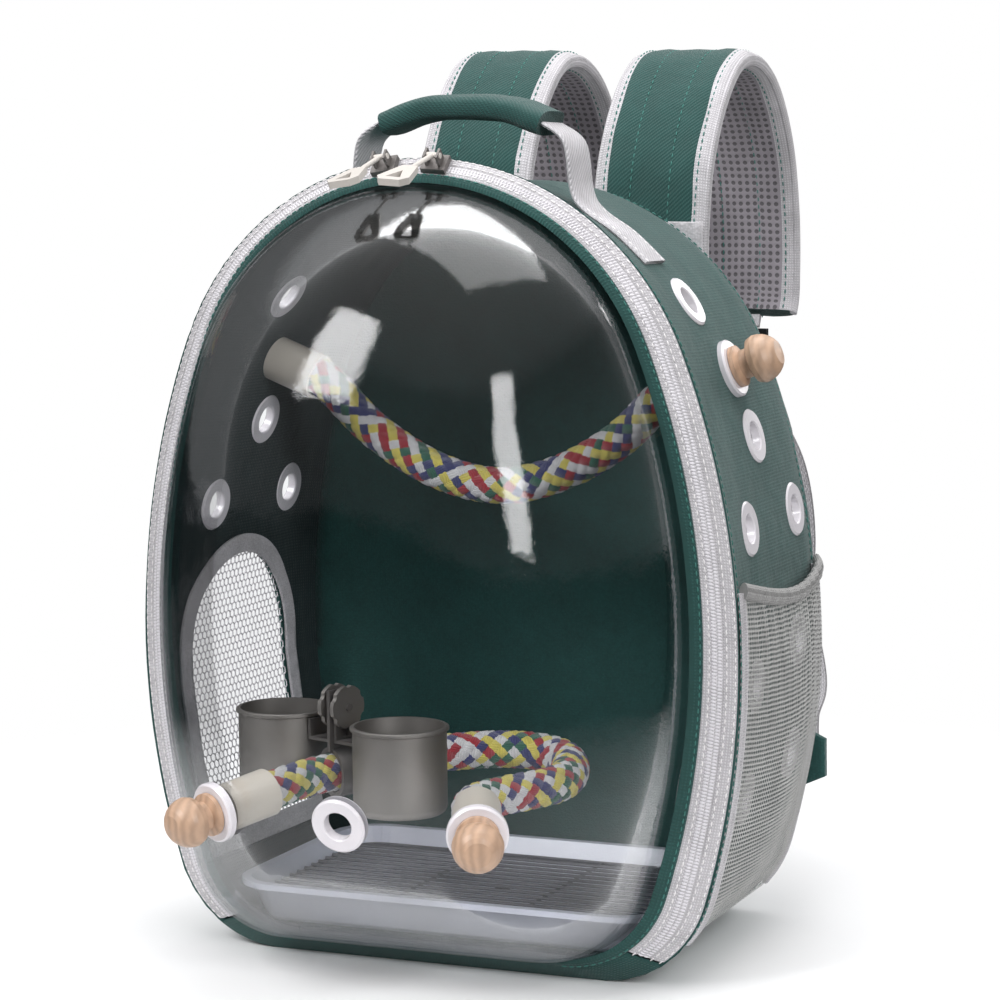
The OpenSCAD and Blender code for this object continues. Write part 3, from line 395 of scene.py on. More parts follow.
def clear_sheet(name):
    """Thin clear plastic: see-through, with the room's light on it at a slant."""
    look = Look(name, (238, 243, 246), 0.05, spread=0.02)
    facing = look.node("ShaderNodeLayerWeight", Blend=0.22)
    wavy = look.fed(look.cloud, "Height", "ShaderNodeBump", Strength=0.08, Distance=0.003)
    gloss = look.fed(wavy.outputs["Normal"], "Normal", "ShaderNodeBsdfGlossy", Roughness=0.045)
    clear = look.node("ShaderNodeBsdfTransparent", Color=(0.975, 0.98, 0.985, 1))
    edge = look.math("ADD", look.math("MULTIPLY", facing.outputs["Fresnel"], 0.4), 0.02)
    look.surface("Material Output", edge, clear, gloss)
    return look.done()


GREEN = (29, 76, 72)
WHITE = (207, 204, 208)
ROPE_COLOURS = dict(yellow=(226, 207, 96), red=(168, 30, 48), white=(228, 224, 230),
                    blue=(48, 54, 112), green=(34, 98, 78))
green_cloth = woven("green_cloth", GREEN, 0.0017, 0.0003)
green_twill = woven("green_twill", GREEN, 0.0017, 0.0003, twill=True)
green_grain = grainy("green_grain", GREEN)
lining_cloth = woven("lining_cloth", (23, 42, 43), 0.0017, 0.0002, sheen=0.1)
lining_grain = grainy("lining_grain", (30, 48, 50), sheen=0.15)
white_tape = woven("white_tape", WHITE, 0.0015, 0.0003, sheen=0.2)
white_grain = grainy("white_grain", WHITE, 0.0014, 0.0003, sheen=0.2)
white_webbing = woven("white_webbing", (210, 207, 211), 0.0022, 0.0005, twill=True, sheen=0.15)
coil_white = moulded("coil_white", (216, 213, 218), 0.38)
thread_white = moulded("thread_white", (232, 229, 230), 0.7)
thread_green = moulded("thread_green", (58, 116, 108), 0.7)
# both spacer looks carry painted shade in the middle of each dimple
spacer_grey = spacer("spacer_grey", (143, 138, 144), uv=True)
spacer_dark = spacer("spacer_dark", (74, 74, 78))
pocket_net = netting("pocket_net", (168, 168, 166), 0.0024, 0.4)
net_white = moulded("net_white", (222, 219, 222), 0.6)
elastic_grey = woven("elastic_grey", (168, 167, 166), 0.0014, 0.0005)
clear_plastic = clear_sheet("clear_plastic")
eyelet_white = moulded("eyelet_white", (222, 218, 223), 0.22, Coat_Weight=0.3)
ferrule_ivory = moulded("ferrule_ivory", (216, 208, 196), 0.3, Coat_Weight=0.2)
buckle_black = moulded("buckle_black", (24, 24, 26), 0.35)
grey_binding = grainy("grey_binding", (196, 193, 196))
pull_grey = moulded("pull_grey", (196, 190, 184), 0.45)
tray_grey = moulded("tray_grey", (212, 214, 228), 0.3, Coat_Weight=0.15)
knob_wood = wood("knob_wood", (192, 158, 132))
steel_bright = metal("steel_bright", (150, 146, 142), 0.1)
steel_brushed = metal("steel_brushed", (132, 128, 126), 0.14, 0.4)
steel_dark = metal("steel_dark", (120, 120, 126), 0.28, 0.3)
rope_core = grainy("rope_core", (120, 96, 70))
strand_looks = {}
ROPE_ORDER = [1, 2, 3, 0, 4, 2, 1, 0, 3, 2, 0, 1, 2, 4, 0, 3]    # each strand's place in ROPE_COLOURS
for key, rgb in ROPE_COLOURS.items():
    strand = Look("strand_" + key, rgb, 0.8, spread=0.16, grain=300, uv=True, Sheen_Weight=0.3)
    yarn = strand.bands("X", 0.0011, 30)
    strand.darken(strand.math("SUBTRACT", 1.0, yarn), 0.35)
    strand.bump(yarn, 0.0005)
    strand_looks[key] = strand.done()


# --- Making pieces
def new_object(name, data):
    made = bpy.data.objects.new(name, data)
    SCENE.collection.objects.link(made)
    return made


def attach(piece, body, stands_for=()):
    """Says what a piece rides on and which nodes it replaces."""
    if stands_for:
        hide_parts(*stands_for)
    if body:
        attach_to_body(piece, body)
    return piece


def place(name, mesh, mats, body, stands_for=(), angle=40):
    """Links a mesh as a piece that rides on a body."""
    piece = new_object(name, mesh)
    for mat in mats:
        mesh.materials.append(mat)
    mesh.shade_smooth()
    mesh.set_sharp_from_angle(angle=radians(angle))
    return attach(piece, body, stands_for)


def to_mesh(name, points, faces, uvs=None, marks=None):
    """A closed mesh from points in millimetres. uvs are per point, marks per face."""
    mesh = bpy.data.meshes.new(name)
    mesh.from_pydata([tuple(Vector(p) * MM) for p in points], [], faces)
    if uvs:
        layer = mesh.uv_layers.new(name="UVMap")
        for loop in mesh.loops:
            layer.data[loop.index].uv = [c * MM for c in uvs[loop.vertex_index]]
    if marks:
        mesh.polygons.foreach_set("material_index", marks)
    return closed(opened(mesh), mesh)


def opened(mesh, joined=False):
    """A mesh opened for work, with the points joined that lie on one another if asked."""
    work = bmesh.new()
    work.from_mesh(mesh)
    if joined:
        bmesh.ops.remove_doubles(work, verts=work.verts, dist=1e-5)
    return work


def closed(work, mesh):
    """Puts finished work back into a mesh, with all faces turned outwards."""
    bmesh.ops.recalc_face_normals(work, faces=work.faces)
    work.to_mesh(mesh)
    work.free()
    mesh.update()
    return mesh


def lengths(points):
    out = [0.0]
    for a, b in zip(points, points[1:]):
        out.append(out[-1] + (Vector(b) - Vector(a)).length)
    return out


def skin(name, outer, inner, loop=False):
    """A sheet with thickness between two grids of points. The inner face is mark 1."""
    n, m = len(outer), len(outer[0])
    points, uvs, faces, marks = [], [], [], []
    along = lengths([row[m // 2] for row in outer])
    for rows in (outer, inner):
        for i, row in enumerate(rows):
            across = lengths(row)
            points += row
            uvs += [(along[i], across[j]) for j in range(m)]
    far = n * m
    last = n if loop else n - 1
    for i in range(last):
        a, b = i * m, ((i + 1) % n) * m
        for j in range(m - 1):
            faces += [(a + j, b + j, b + j + 1, a + j + 1),
                      (far + a + j, far + a + j + 1, far + b + j + 1, far + b + j)]
            marks += [0, 1]
        faces += [(a, far + a, far + b, b),
                  (a + m - 1, b + m - 1, far + b + m - 1, far + a + m - 1)]
        marks += [0, 0]
    if not loop:
        for a in (0, (n - 1) * m):
            for j in range(m - 1):
                faces.append((a + j, a + j + 1, far + a + j + 1, far + a + j))
                marks.append(0)
    return to_mesh(name, points, faces, uvs, marks)


def frames(path, guide, carried=False):
    """Each point of a path with its way along, the guide across it and the third way.

    A carried guide turns with the path from point to point.
    """
    out, guide = [], Vector(guide)
    for i, p in enumerate(path):
        t = (path[min(i + 1, len(path) - 1)] - path[max(i - 1, 0)]).normalized()
        s = (guide - guide.dot(t) * t).normalized()
        out.append((p, t, s, t.cross(s)))
        if carried:
            guide = s
    return out


def ring_faces(start, rings, n):
    """The faces between rings of n points that follow one another from start."""
    faces = []
    for first in range(start, start + (rings - 1) * n, n):
        for j in range(n):
            a, b = first + j, first + (j + 1) % n
            faces.append((a, b, b + n, a + n))
    return faces


def end_faces(start, rings, n):
    last = start + (rings - 1) * n
    return [tuple(range(start, start + n))[::-1], tuple(range(last, last + n))]


def sweep(name, path, section, guide, mark=None):
    """A section swept along a path, closed at both ends."""
    n = len(section)
    walk = frames(path, guide)
    across = lengths([(a, b, 0) for a, b in section])
    points, uvs = [], []
    for (p, t, s, u), l in zip(walk, lengths(path)):
        points += [p + a * s + b * u for a, b in section]
        uvs += [(l, c) for c in across]
    faces = ring_faces(0, len(path), n)
    marks = [0] * len(faces)
    if mark:
        for k, face in enumerate(faces):
            mid = sum((points[q] for q in face), Vector()) / 4
            marks[k] = mark(mid, mid - walk[k // n][0])
    return to_mesh(name, points, faces + end_faces(0, len(path), n), uvs, marks + [0, 0])


def oval(a, b, n=10, square=1.0):
    """A round or squared-off section, half sizes a and b."""
    def bent(c, size):
        return size * abs(c) ** square * (1 if c > 0 else -1)

    turns = [2 * pi * k / n for k in range(n)]
    return [(bent(cos(q), a), bent(sin(q), b)) for q in turns]


def strip(name, path, section, mat, stands_for=(), guide=(1, 0, 0), body="bag"):
    """A piece of webbing, tape or cord: a section swept along a path."""
    return place(name, sweep(name, path, section, guide), [mat], body, stands_for)


def ribbon(w, t):
    """The section of a flat strap with soft edges."""
    r = t / 2
    flat = [w / 2 - r, w / 4, 0, -w / 4, -w / 2 + r]
    return [(x, r) for x in flat] + [(-w / 2, 0)] + [(x, -r) for x in flat[::-1]] + [(w / 2, 0)]


def baked(piece):
    """Replaces a piece's mesh by what its modifiers make of it."""
    bpy.context.view_layer.update()
    mesh = bpy.data.meshes.new_from_object(
        piece.evaluated_get(bpy.context.evaluated_depsgraph_get()))
    piece.modifiers.clear()
    piece.data = mesh
    return mesh


def cut(mesh, cutter):
    """The mesh with the cutter's space taken out."""
    body, tool = new_object("cut_body", mesh), new_object("cut_tool", cutter)
    take = body.modifiers.new("cut", "BOOLEAN")
    take.operation, take.solver, take.object = "DIFFERENCE", "EXACT", tool
    made = baked(body)
    bpy.data.objects.remove(body)
    bpy.data.objects.remove(tool)
    return made


def holes(mesh, spots, r, reach, sides=28):
    """The mesh with a round hole at each spot, a point and a way out of the wall."""
    points, faces = [], []
    for at, way in spots:
        turn = way.to_track_quat("Z", "Y").to_matrix()
        faces += ring_faces(len(points), 2, sides) + end_faces(len(points), 2, sides)
        points += [at + turn @ Vector((x, y, end)) for end in (-reach, reach) for x, y in oval(r, r, sides)]
    return cut(mesh, to_mesh("hole_tool", points, faces))


def grow_tree(name, size_kind, build):
    """Geometry Nodes: what build makes of a mesh, with a size and a material."""
    tree = bpy.data.node_groups.new(name, "GeometryNodeTree")
    sockets = {}
    for label, way, kind in (("Geometry", "INPUT", "NodeSocketGeometry"), ("Size", "INPUT", size_kind),
                             ("Material", "INPUT", "NodeSocketMaterial"),
                             ("Result", "OUTPUT", "NodeSocketGeometry")):
        sockets[label] = tree.interface.new_socket(label, in_out=way, socket_type=kind).identifier
    net = Nodes(tree)
    start, end = net.node("NodeGroupInput").outputs, net.node("NodeGroupOutput").inputs
    real = net.fed(build(net, start["Geometry"], start["Size"]), 0, "GeometryNodeRealizeInstances")
    paint = net.fed(real.outputs[0], "Geometry", "GeometryNodeSetMaterial")
    net.link(start["Material"], paint.inputs["Material"])
    net.link(paint.outputs[0], end[0])
    return tree, sockets["Size"], sockets["Material"]


def ovals_at_points(net, points, size):
    """One small oval on each point, turned along the point's way."""
    ball = net.node("GeometryNodeMeshUVSphere", Segments=8, Rings=5, Radius=0.5)
    way = net.node("GeometryNodeInputNamedAttribute", Name="way")
    way.data_type = "FLOAT_VECTOR"
    turn = net.node("FunctionNodeAlignRotationToVector")
    turn.axis = "X"
    net.link(way.outputs[0], turn.inputs["Vector"])
    put = net.node("GeometryNodeInstanceOnPoints")
    for label, value in (("Points", points), ("Instance", ball.outputs["Mesh"]),
                         ("Rotation", turn.outputs[0]), ("Scale", size)):
        net.link(value, put.inputs[label])
    return put.outputs[0]


def wires_on_edges(net, edges, radius):
    """A thin round wire along each edge of a net."""
    line = net.fed(edges, "Mesh", "GeometryNodeMeshToCurve")
    ring = net.fed(radius, "Radius", "GeometryNodeCurvePrimitiveCircle", Resolution=5)
    tube = net.fed(line.outputs[0], "Curve", "GeometryNodeCurveToMesh", Fill_Caps=True)
    net.link(ring.outputs["Curve"], tube.inputs["Profile Curve"])
    return tube.outputs[0]


ROW_TREE = grow_tree("oval_row", "NodeSocketVector", ovals_at_points)
WIRE_TREE = grow_tree("net_wires", "NodeSocketFloat", wires_on_edges)


def grown(name, mesh, tree, size, mat, body, stands_for=()):
    """A piece that a node tree grows from points or edges, kept as a plain mesh."""
    piece = new_object(name, mesh)
    live = piece.modifiers.new("grow", "NODES")
    live.node_group, live[tree[1]], live[tree[2]] = tree[0], size, mat
    made = baked(piece)
    closed(opened(made), made).shade_smooth()
    return attach(piece, body, stands_for)


def row(name, spots, size, mat, body, slot):
    """Small ovals at spots, each a point and a way in millimetres: stitches or teeth."""
    mesh = bpy.data.meshes.new(name)
    mesh.from_pydata([tuple(Vector(p) * MM) for p, way in spots], [], [])
    ways = mesh.attributes.new("way", "FLOAT_VECTOR", "POINT")
    for k, (p, way) in enumerate(spots):
        ways.data[k].vector = way
    return grown(name, mesh, ROW_TREE, [c * MM for c in size], mat, body)


def stitches(name, paths, mat, body, slot, pitch=4.0):
    """Thread showing along each path, a pitch from one stitch to the next."""
    spots = [s for path in paths for s in evenly([Vector(p) for p in path], pitch)]
    return row(name, spots, (2.9, 0.75, 0.75), mat, body, slot)


def roughen(points, scale, depth, shift):
    """Moves vertices a little, by smooth noise of a scale and a depth."""
    for v in points:
        v.co += noise.noise_vector(v.co / (scale * MM) + Vector(shift)) * depth * MM


def soft_copy(node, name, mats, longest=6.0, depth=0.35, seed=1.0):
    """A soft piece of the part with finer faces and a slightly uneven surface."""
    work = opened(NODES[node].data, joined=True)
    bmesh.ops.triangulate(work, faces=work.faces)
    for _ in range(5):
        long_edges = [e for e in work.edges if e.calc_length() > longest * MM]
        if not long_edges or len(work.faces) > 60000:
            break
        bmesh.ops.subdivide_edges(work, edges=long_edges, cuts=1)
        bmesh.ops.triangulate(work, faces=[f for f in work.faces if len(f.verts) > 3])
    roughen(work.verts, 22, depth, (seed, seed, seed))
    place(name, closed(work, bpy.data.meshes.new(name)), mats, BODY_OF[node], [node])


def puffed(node, name, mats, shrink, cap, seed):
    """A padded piece blown up by a short cloth simulation, then made a little uneven."""
    work = opened(NODES[node].data, joined=True)
    low, high = (Vector(c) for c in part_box(node))
    mid = (low + high) / 2
    for v in work.verts:
        v.co = mid + Vector([(v.co - mid)[k] * shrink[k] for k in range(3)])
    piece = place(name, closed(work, bpy.data.meshes.new(name)), mats, None, angle=180)
    remesh = piece.modifiers.new("even", "REMESH")
    remesh.mode, remesh.voxel_size = "VOXEL", 0.005
    start = [v.co.copy() for v in baked(piece).vertices]
    cloth = piece.modifiers.new("air", "CLOTH")
    cloth.settings.use_pressure = True
    cloth.settings.uniform_pressure_force = 4
    cloth.settings.quality = 5
    cloth.settings.effector_weights.gravity = 0
    for number in range(1, 21):
        SCENE.frame_set(number)
    mesh = baked(piece)
    SCENE.frame_set(1)
    for v, home in zip(mesh.vertices, start):
        move = v.co - home
        if move.length > cap * MM:
            v.co = home + move.normalized() * cap * MM
    finer = piece.modifiers.new("finer", "SUBSURF")
    finer.levels = finer.render_levels = 1
    mesh = baked(piece)
    for v in mesh.vertices:
        v.co = Vector([max(low[k] - 0.002, min(high[k] + 0.002, v.co[k])) for k in range(3)])
    roughen(mesh.vertices, 30, 0.5, (seed, 0, 0))
    closed(opened(mesh), mesh).shade_smooth()
    attach(piece, BODY_OF[node], [node])


# --- The bag's shell
def give(x, y, z, along):
    """How far the padded cloth stands off its even shape here."""
    broad = 0.9 * noise.noise(Vector((x, y, z)) / 55 + Vector((3, 1, 7)))
    fine = 0.35 * noise.noise(Vector((x, y, z)) / 17 + Vector((11, 5, 2)))
    pucker = 0.55 * sin(2 * pi * along / 11) * (exp((FRONT_Y - y) / 9) + exp((y - BACK_Y) / 9))
    return broad + fine + pucker


def wall_grid(first, last, off):
    """A stretch of the bag's wall, from its front to its back, as a grid of points."""
    depths = [FRONT_Y + (BACK_Y - BACK_T - FRONT_Y) * k / 30 for k in range(31)]
    rings = [body_ring(inset_at(y), off) for y in depths]
    flat = lengths([(x, 0, z) for x, z in body_ring(0)])
    grid = []
    for i in range(first, last + 1):
        line = []
        for y, ring in zip(depths, rings):
            x, z = ring[i]
            out = Vector((x, 0, z - 190)).normalized() * give(x, y, z, flat[i])
            edge = min(1.0, min(y - FRONT_Y, BACK_Y - BACK_T - y) / 4 + 0.35)
            line.append(Vector((x, y, z)) + out * edge)
        grid.append(line)
    return grid


def window_tool():
    """The window's prism, which cuts its hole in the left wall."""
    r = WINDOW_W / 2 + 0.4
    top = arc(WINDOW_Y, WINDOW_TOP_Z, r, 0, 180, 32)
    rim = [(WINDOW_Y + r, WINDOW_Z)] + top + [(WINDOW_Y - r, WINDOW_Z)]
    points = [(x, y, z) for x in (-200, -110) for y, z in rim]
    return to_mesh("window_tool", points, ring_faces(0, 2, len(rim)) + end_faces(0, 2, len(rim)))


def shell_piece(name, first, last, node, spots, window=False):
    mesh = skin(name, wall_grid(first, last, 0), wall_grid(first, last, WALL_T))
    if spots:
        mesh = holes(mesh, spots, WALL_VENT_R, 20)
    if window:
        mesh = cut(mesh, window_tool())
    return place(name, mesh, [green_cloth, lining_cloth], "bag", [node])


right_spots = [wall_spot(y, z) for y, z in VENTS + POCKET_VENTS]
left_spots = [wall_spot(y, z, -1) for y, z in VENTS]
shell_piece("shell_right", 0, SIDE_LAST, "side_panel_right", right_spots)
shell_piece("shell_left", RING - 1 - SIDE_LAST, RING - 1, "side_panel_left", left_spots, True)
shell_piece("shell_top", SIDE_LAST, RING - 1 - SIDE_LAST, "top_panel", [])
soft_copy("base_panel", "shell_base", [green_grain], depth=0.2)
soft_copy("back_panel", "shell_back", [green_grain], 8, 0.5, 4.0)
puffed("base_pad", "floor_pad", [lining_grain], (0.985, 0.98, 0.8), 5, 2.0)
puffed("back_cushion", "back_pad", [spacer_dark], (0.98, 0.7, 0.98), 6, 5.0)
soft_copy("strap_patch", "strap_patch_cloth", [white_grain], depth=0.2)
soft_copy("corner_tabs", "corner_tab_cloth", [green_grain], 4, 0.25)
soft_copy("strap_end_tabs", "strap_end_loops", [white_grain], 3, 0.1)


def shell_line(y):
    """A line round the outside of the bag at a depth."""
    return [(x, y, z) for x, z in body_ring(inset_at(y), -0.4)]


shell_lines = [shell_line(FRONT_Y + 7), shell_line(BACK_Y - 14)]
stitches("shell_stitches", shell_lines, thread_green, "bag", "shell_fabric")


# --- Front seam, zip and door frame
def frame_skin(name, rails, stations, t=TAPE_T, loop=False):
    """A sheet along the door frame between rails, each an inset, a depth and a rise."""
    grids = []
    for inner in (False, True):
        lines = [[(x, FRONT_Y - depth, z) for x, z in door_ring(inset, t if inner else -rise)]
                 for inset, depth, rise in rails]
        grids.append([[line[i] for line in lines] for i in stations])
    return skin(name, *grids, loop)


def band_piece(node, name, mats, slot, insets, depths, t=TAPE_T, loop=False, crown=0.6):
    """A slanting band of the door frame, slightly crowned across."""
    rails = []
    for f in [k / 6 for k in range(7)]:
        inset, depth = (low + (high - low) * f for low, high in (insets, depths))
        rails.append((inset, depth, crown * sin(pi * f)))
    mesh = frame_skin(name, rails, range(RING) if loop else range(ZIP_FROM, ZIP_TO + 1), t, loop)
    place(name, mesh, mats, BODY_OF[node], [node])


def frame_line(inset, depth, off, first=ZIP_FROM, last=ZIP_TO):
    """A line round the door frame: inset in the outline, in front of the bag, and off its face."""
    return [Vector((x, FRONT_Y - depth, z)) for x, z in door_ring(inset, off)[first:last + 1]]


def teeth(name, insets, depths, body):
    """One half of the zip's coil: short ovals across its path."""
    mid, half = sum(insets) / 2, sum(depths) / 2
    line = frame_line(mid, half, 0.7)
    over = frame_line(mid + 1, half + SLANT, 0.7)
    spots = []
    for p, _ in evenly(line, 1.7):
        k = min(range(len(line)), key=lambda q: (line[q] - p).length)
        spots.append((p, (over[k] - line[k]).normalized()))
    return row(name, spots, (3.3, 1.15, 2.0), coil_white, body, "zip_coil")


band_piece("front_seam_tape", "seam_tape", [white_tape], "binding", TAPE_IN, TAPE_Y)
for side, *places in (("body", COIL_BODY_IN, COIL_BODY_Y), ("door", COIL_DOOR_IN, COIL_DOOR_Y)):
    band_piece("zip_coil_" + side, "coil_bed_" + side, [white_tape], "zip_coil", *places, 2.4, crown=0.1)
band_piece("zip_tape_door", "door_tape", [white_tape], "binding", DOOR_TAPE_IN, DOOR_TAPE_Y)
band_piece("door_band", "door_band_cloth", [green_cloth, lining_cloth], "shell_fabric", BAND_IN, BAND_Y,
           loop=True, crown=0.9)
teeth("coil_teeth_body", COIL_BODY_IN, COIL_BODY_Y, "bag")
teeth("coil_teeth_door", COIL_DOOR_IN, COIL_DOOR_Y, "door")
seam_lines = [frame_line(2.6, 0.9, -0.7), frame_line(6.4, 3.0, -0.7)]
stitches("seam_stitches", seam_lines, thread_white, "bag", "binding")
stitches("door_stitches", [frame_line(14, 7.3, -0.8)], thread_white, "door", "binding")
stitches("band_stitches", [frame_line(18, 9.9, -1.1, 0, RING - 1)], thread_green, "door", "shell_fabric")


def hinge_piece():
    """The cloth strip under the door."""
    rails = [(0, 0.3, 0), (4, 2.4, 0), (8, 4.4, 0), (12, 6.4, 0), (16, 8.25, 0)]
    mesh = frame_skin("hinge_cloth", rails, [*range(ZIP_TO + 1, RING), *range(ZIP_FROM)])
    piece = place("hinge_cloth", mesh, [green_cloth, lining_cloth], None, ["hinge_strip"])
    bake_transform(piece)


hinge_piece()


# --- Dome
def fullness(t, bulge):
    """How wide the dome still is at a share t of its depth, from 1 to 0."""
    return max(0.0, 1 - t ** bulge) ** (1 / DOME_ROUND)


def dome_rings(off, depth):
    """Rings from the dome's skirt to near its tip, closer together at the tip."""
    edge = door_ring(BAND_IN[1], off)
    out = [[Vector((x, DOME_Y0 + DOME_SKIRT, z)) for x, z in edge]]
    for k in range(27):
        t = 1 - (1 - k / 27) ** 3
        side, low, high = (fullness(t, b) for b in (SIDE_FULL, BOTTOM_FULL, CROWN_FULL))
        out.append([Vector((x * side, DOME_Y0 - depth * t,
                            DOME_MID_Z + (z - DOME_MID_Z) * (low if z < DOME_MID_Z else high)))
                    for x, z in edge])
    return out


def dome_piece():
    """The clear dome, a shell of one thickness with its vent and stud holes."""
    gap, n = TAPE_T + 0.3, RING
    points = sum(dome_rings(gap, DOME_D) + dome_rings(gap + DOME_T, DOME_D - DOME_T), [])
    count = len(points) // n // 2
    tips = len(points)
    points += [Vector((0, DOME_Y0 - DOME_D + t, DOME_MID_Z)) for t in (0, DOME_T)]
    faces = []
    for side in (0, 1):
        faces += ring_faces(side * count * n, count, n)
        top = (side * count + count - 1) * n
        faces += [(top + i, top + (i + 1) % n, tips + side) for i in range(n)]
    faces += [(i, (i + 1) % n, count * n + (i + 1) % n, count * n + i) for i in range(n)]
    mesh = holes(to_mesh("dome_clear", points, faces), [(FRONT_VENT, FRONT_VENT_WAY)], FRONT_VENT_R, 9)
    studs = [(LOWER_ROOT, LOWER_IN), (flipped(LOWER_ROOT), flipped(LOWER_IN))]
    mesh = holes(mesh, studs, STUD_HOLE_R, 9)
    return place("dome_clear", mesh, [clear_plastic], "door", ["dome"], 60)


dome_piece()


# --- Rope perches
def braid(name, route, node, guide, seed):
    """A braided rope: strands each way round, over and under each other."""
    walk = [p for p, _ in evenly(route, 1.6)] + [route[-1]]
    along = lengths(walk)
    turns = frames(walk, (0, 0, 1), carried=True)
    section = oval(2.75, 1.15, 6, 0.8)
    n = len(section)
    points, uvs, faces, marks = [], [], [], []
    for way in (1, -1):
        for k in range(STRANDS):
            start = len(points)
            for (p, t, s, u), l in zip(turns, along):
                a = way * 2 * pi * l / BRAID_LEAD + 2 * pi * k / STRANDS
                r = STRAND_AT_R + way * 0.6 * cos(2 * pi * STRANDS * l / BRAID_LEAD)
                out = cos(a) * s + sin(a) * u
                across = (cos(a) * u - sin(a) * s - way * t).normalized()
                points += [p + r * out + b * across + c * out for b, c in section]
                uvs += [(l * 1.4, b * 2) for b, c in section]
            strand = ring_faces(start, len(walk), n) + end_faces(start, len(walk), n)
            faces += strand
            marks += [ROPE_ORDER[(k + (0 if way > 0 else STRANDS) + seed) % len(ROPE_ORDER)]] * len(strand)
    mesh = to_mesh(name, points, faces, uvs, marks)
    rope = place(name, mesh, list(strand_looks.values()), BODY_OF[node], [node], 70)
    core = strip(name + "_core", walk, oval(ROPE_CORE_R, ROPE_CORE_R), rope_core, (), guide,
                 BODY_OF[node])


upper_start = Vector((120.361, -0.396404, 296.898))
upper_clear = Vector((98.5758, -1.52199, 289.0))
upper_half = [Vector((0, 0, 236)), Vector((36, 0, 243.68)), Vector((70, 0, 262.88)), upper_clear, upper_start]
upper_route = mirrored(upper_half[:0:-1]) + upper_half
lower_start = Vector((65.0232, -173.796, 96.4952))
lower_clear = Vector((53.0722, -147.758, 100.988))
lower_bend = [(-47, -123.2, 102.1), (-38, -110, 103), (-29, -96.8, 103.9), (-8, -72, 106), (22, -46, 106),
              (48, -40, 104), (66, -60, 102), (72, -96, 101)]
lower_route = [flipped(lower_start), flipped(lower_clear), *map(Vector, lower_bend), lower_clear, lower_start]
braid("perch_rope", smooth(upper_route, 8), "upper_rope", (0, 1, 0), 0)
braid("loop_rope", smooth(lower_route, 8), "lower_rope", (0, 0, 1), 5)


# --- Window and pocket
def in_window(y, z, edge=0.0):
    r, dy = WINDOW_W / 2 - edge, y - WINDOW_Y
    if z < WINDOW_Z + edge or abs(dy) > r:
        return False
    return z < WINDOW_TOP_Z or dy * dy + (z - WINDOW_TOP_Z) ** 2 < r * r


def net_piece():
    """A knitted net of six-sided holes that follows the left wall."""
    h = NET_CELL / sqrt(3)
    points, edges, index = [], set(), {}

    def corner(y, z):
        key = (round(y, 1), round(z, 1))
        if key not in index:
            index[key] = len(points)
            points.append((-(wall_x(y, z) - WALL_T / 2) * MM, y * MM, z * MM))
        return index[key]

    for a in range(-16, 17):
        for b in range(-2, 46):
            cy = WINDOW_Y + NET_CELL * (a + (0.5 if b % 2 else 0))
            cz = WINDOW_Z + b * h * 1.5
            rim = [(cy + h * sin(pi * k / 3), cz + h * cos(pi * k / 3)) for k in range(6)]
            for one, two in zip(rim, rim[1:] + rim[:1]):
                if in_window(*one, -3) and in_window(*two, -3):
                    edges.add(tuple(sorted((corner(*one), corner(*two)))))
    mesh = bpy.data.meshes.new("window_net")
    mesh.from_pydata(points, sorted(e for e in edges if e[0] != e[1]), [])
    grown("window_net", mesh, WIRE_TREE, NET_WIRE_R * MM, net_white, "bag", ["window_mesh"])


net_piece()
soft_copy("window_binding", "window_edge", [grey_binding], 4, 0.2)


def pocket_point(u, v, t):
    """A place on the pocket: u from its front to its back, v up it, t off the wall."""
    front, back = FRONT_Y + 12, BACK_Y - 14
    y = front + (back - front) * u
    top = POCKET_Z + POCKET_H - 9 * sin(pi * u) - 5 * u
    z = POCKET_Z + (top - POCKET_Z) * v
    swell = sin(pi * u) ** 0.7 if 0 < u < 1 else 0.0
    rise = max(0.0, sin(radians(20 + 110 * v)) - sin(radians(20))) ** 0.8
    fold = 0.7 * sin(2 * pi * u * 13) * v ** 3 * min(1, 6 * u, 6 * (1 - u))
    return Vector((wall_x(y, z) + 1.2 + t + POCKET_BULGE * swell * rise + fold, y, z))


def pocket_piece():
    """The net pocket, with elastic along its top and tape down its sides."""
    def upright(u, t):
        return [pocket_point(u, j / 30, t) for j in range(31)]

    def level(v, t):
        return [pocket_point(i / 60, v, t) for i in range(61)]

    grids = [[upright(i / 60, t) for i in range(61)] for t in (POCKET_T, POCKET_T - 0.7)]
    cloth = place("pocket_cloth", skin("pocket_cloth", *grids), [pocket_net, pocket_net], "bag",
                  ["side_pocket"])
    top = [p + Vector((1.2, 0, 1.0)) for p in level(1, POCKET_T / 2)]
    hems = [strip("pocket_elastic", top, oval(2.4, 4.2, 12), elastic_grey, ["pocket_binding"])]
    for u in (0, 1):
        side = upright(u, POCKET_T / 2)
        hems.append(strip(f"pocket_side_{u}", side, oval(1.6, 4.5), white_tape))


pocket_piece()


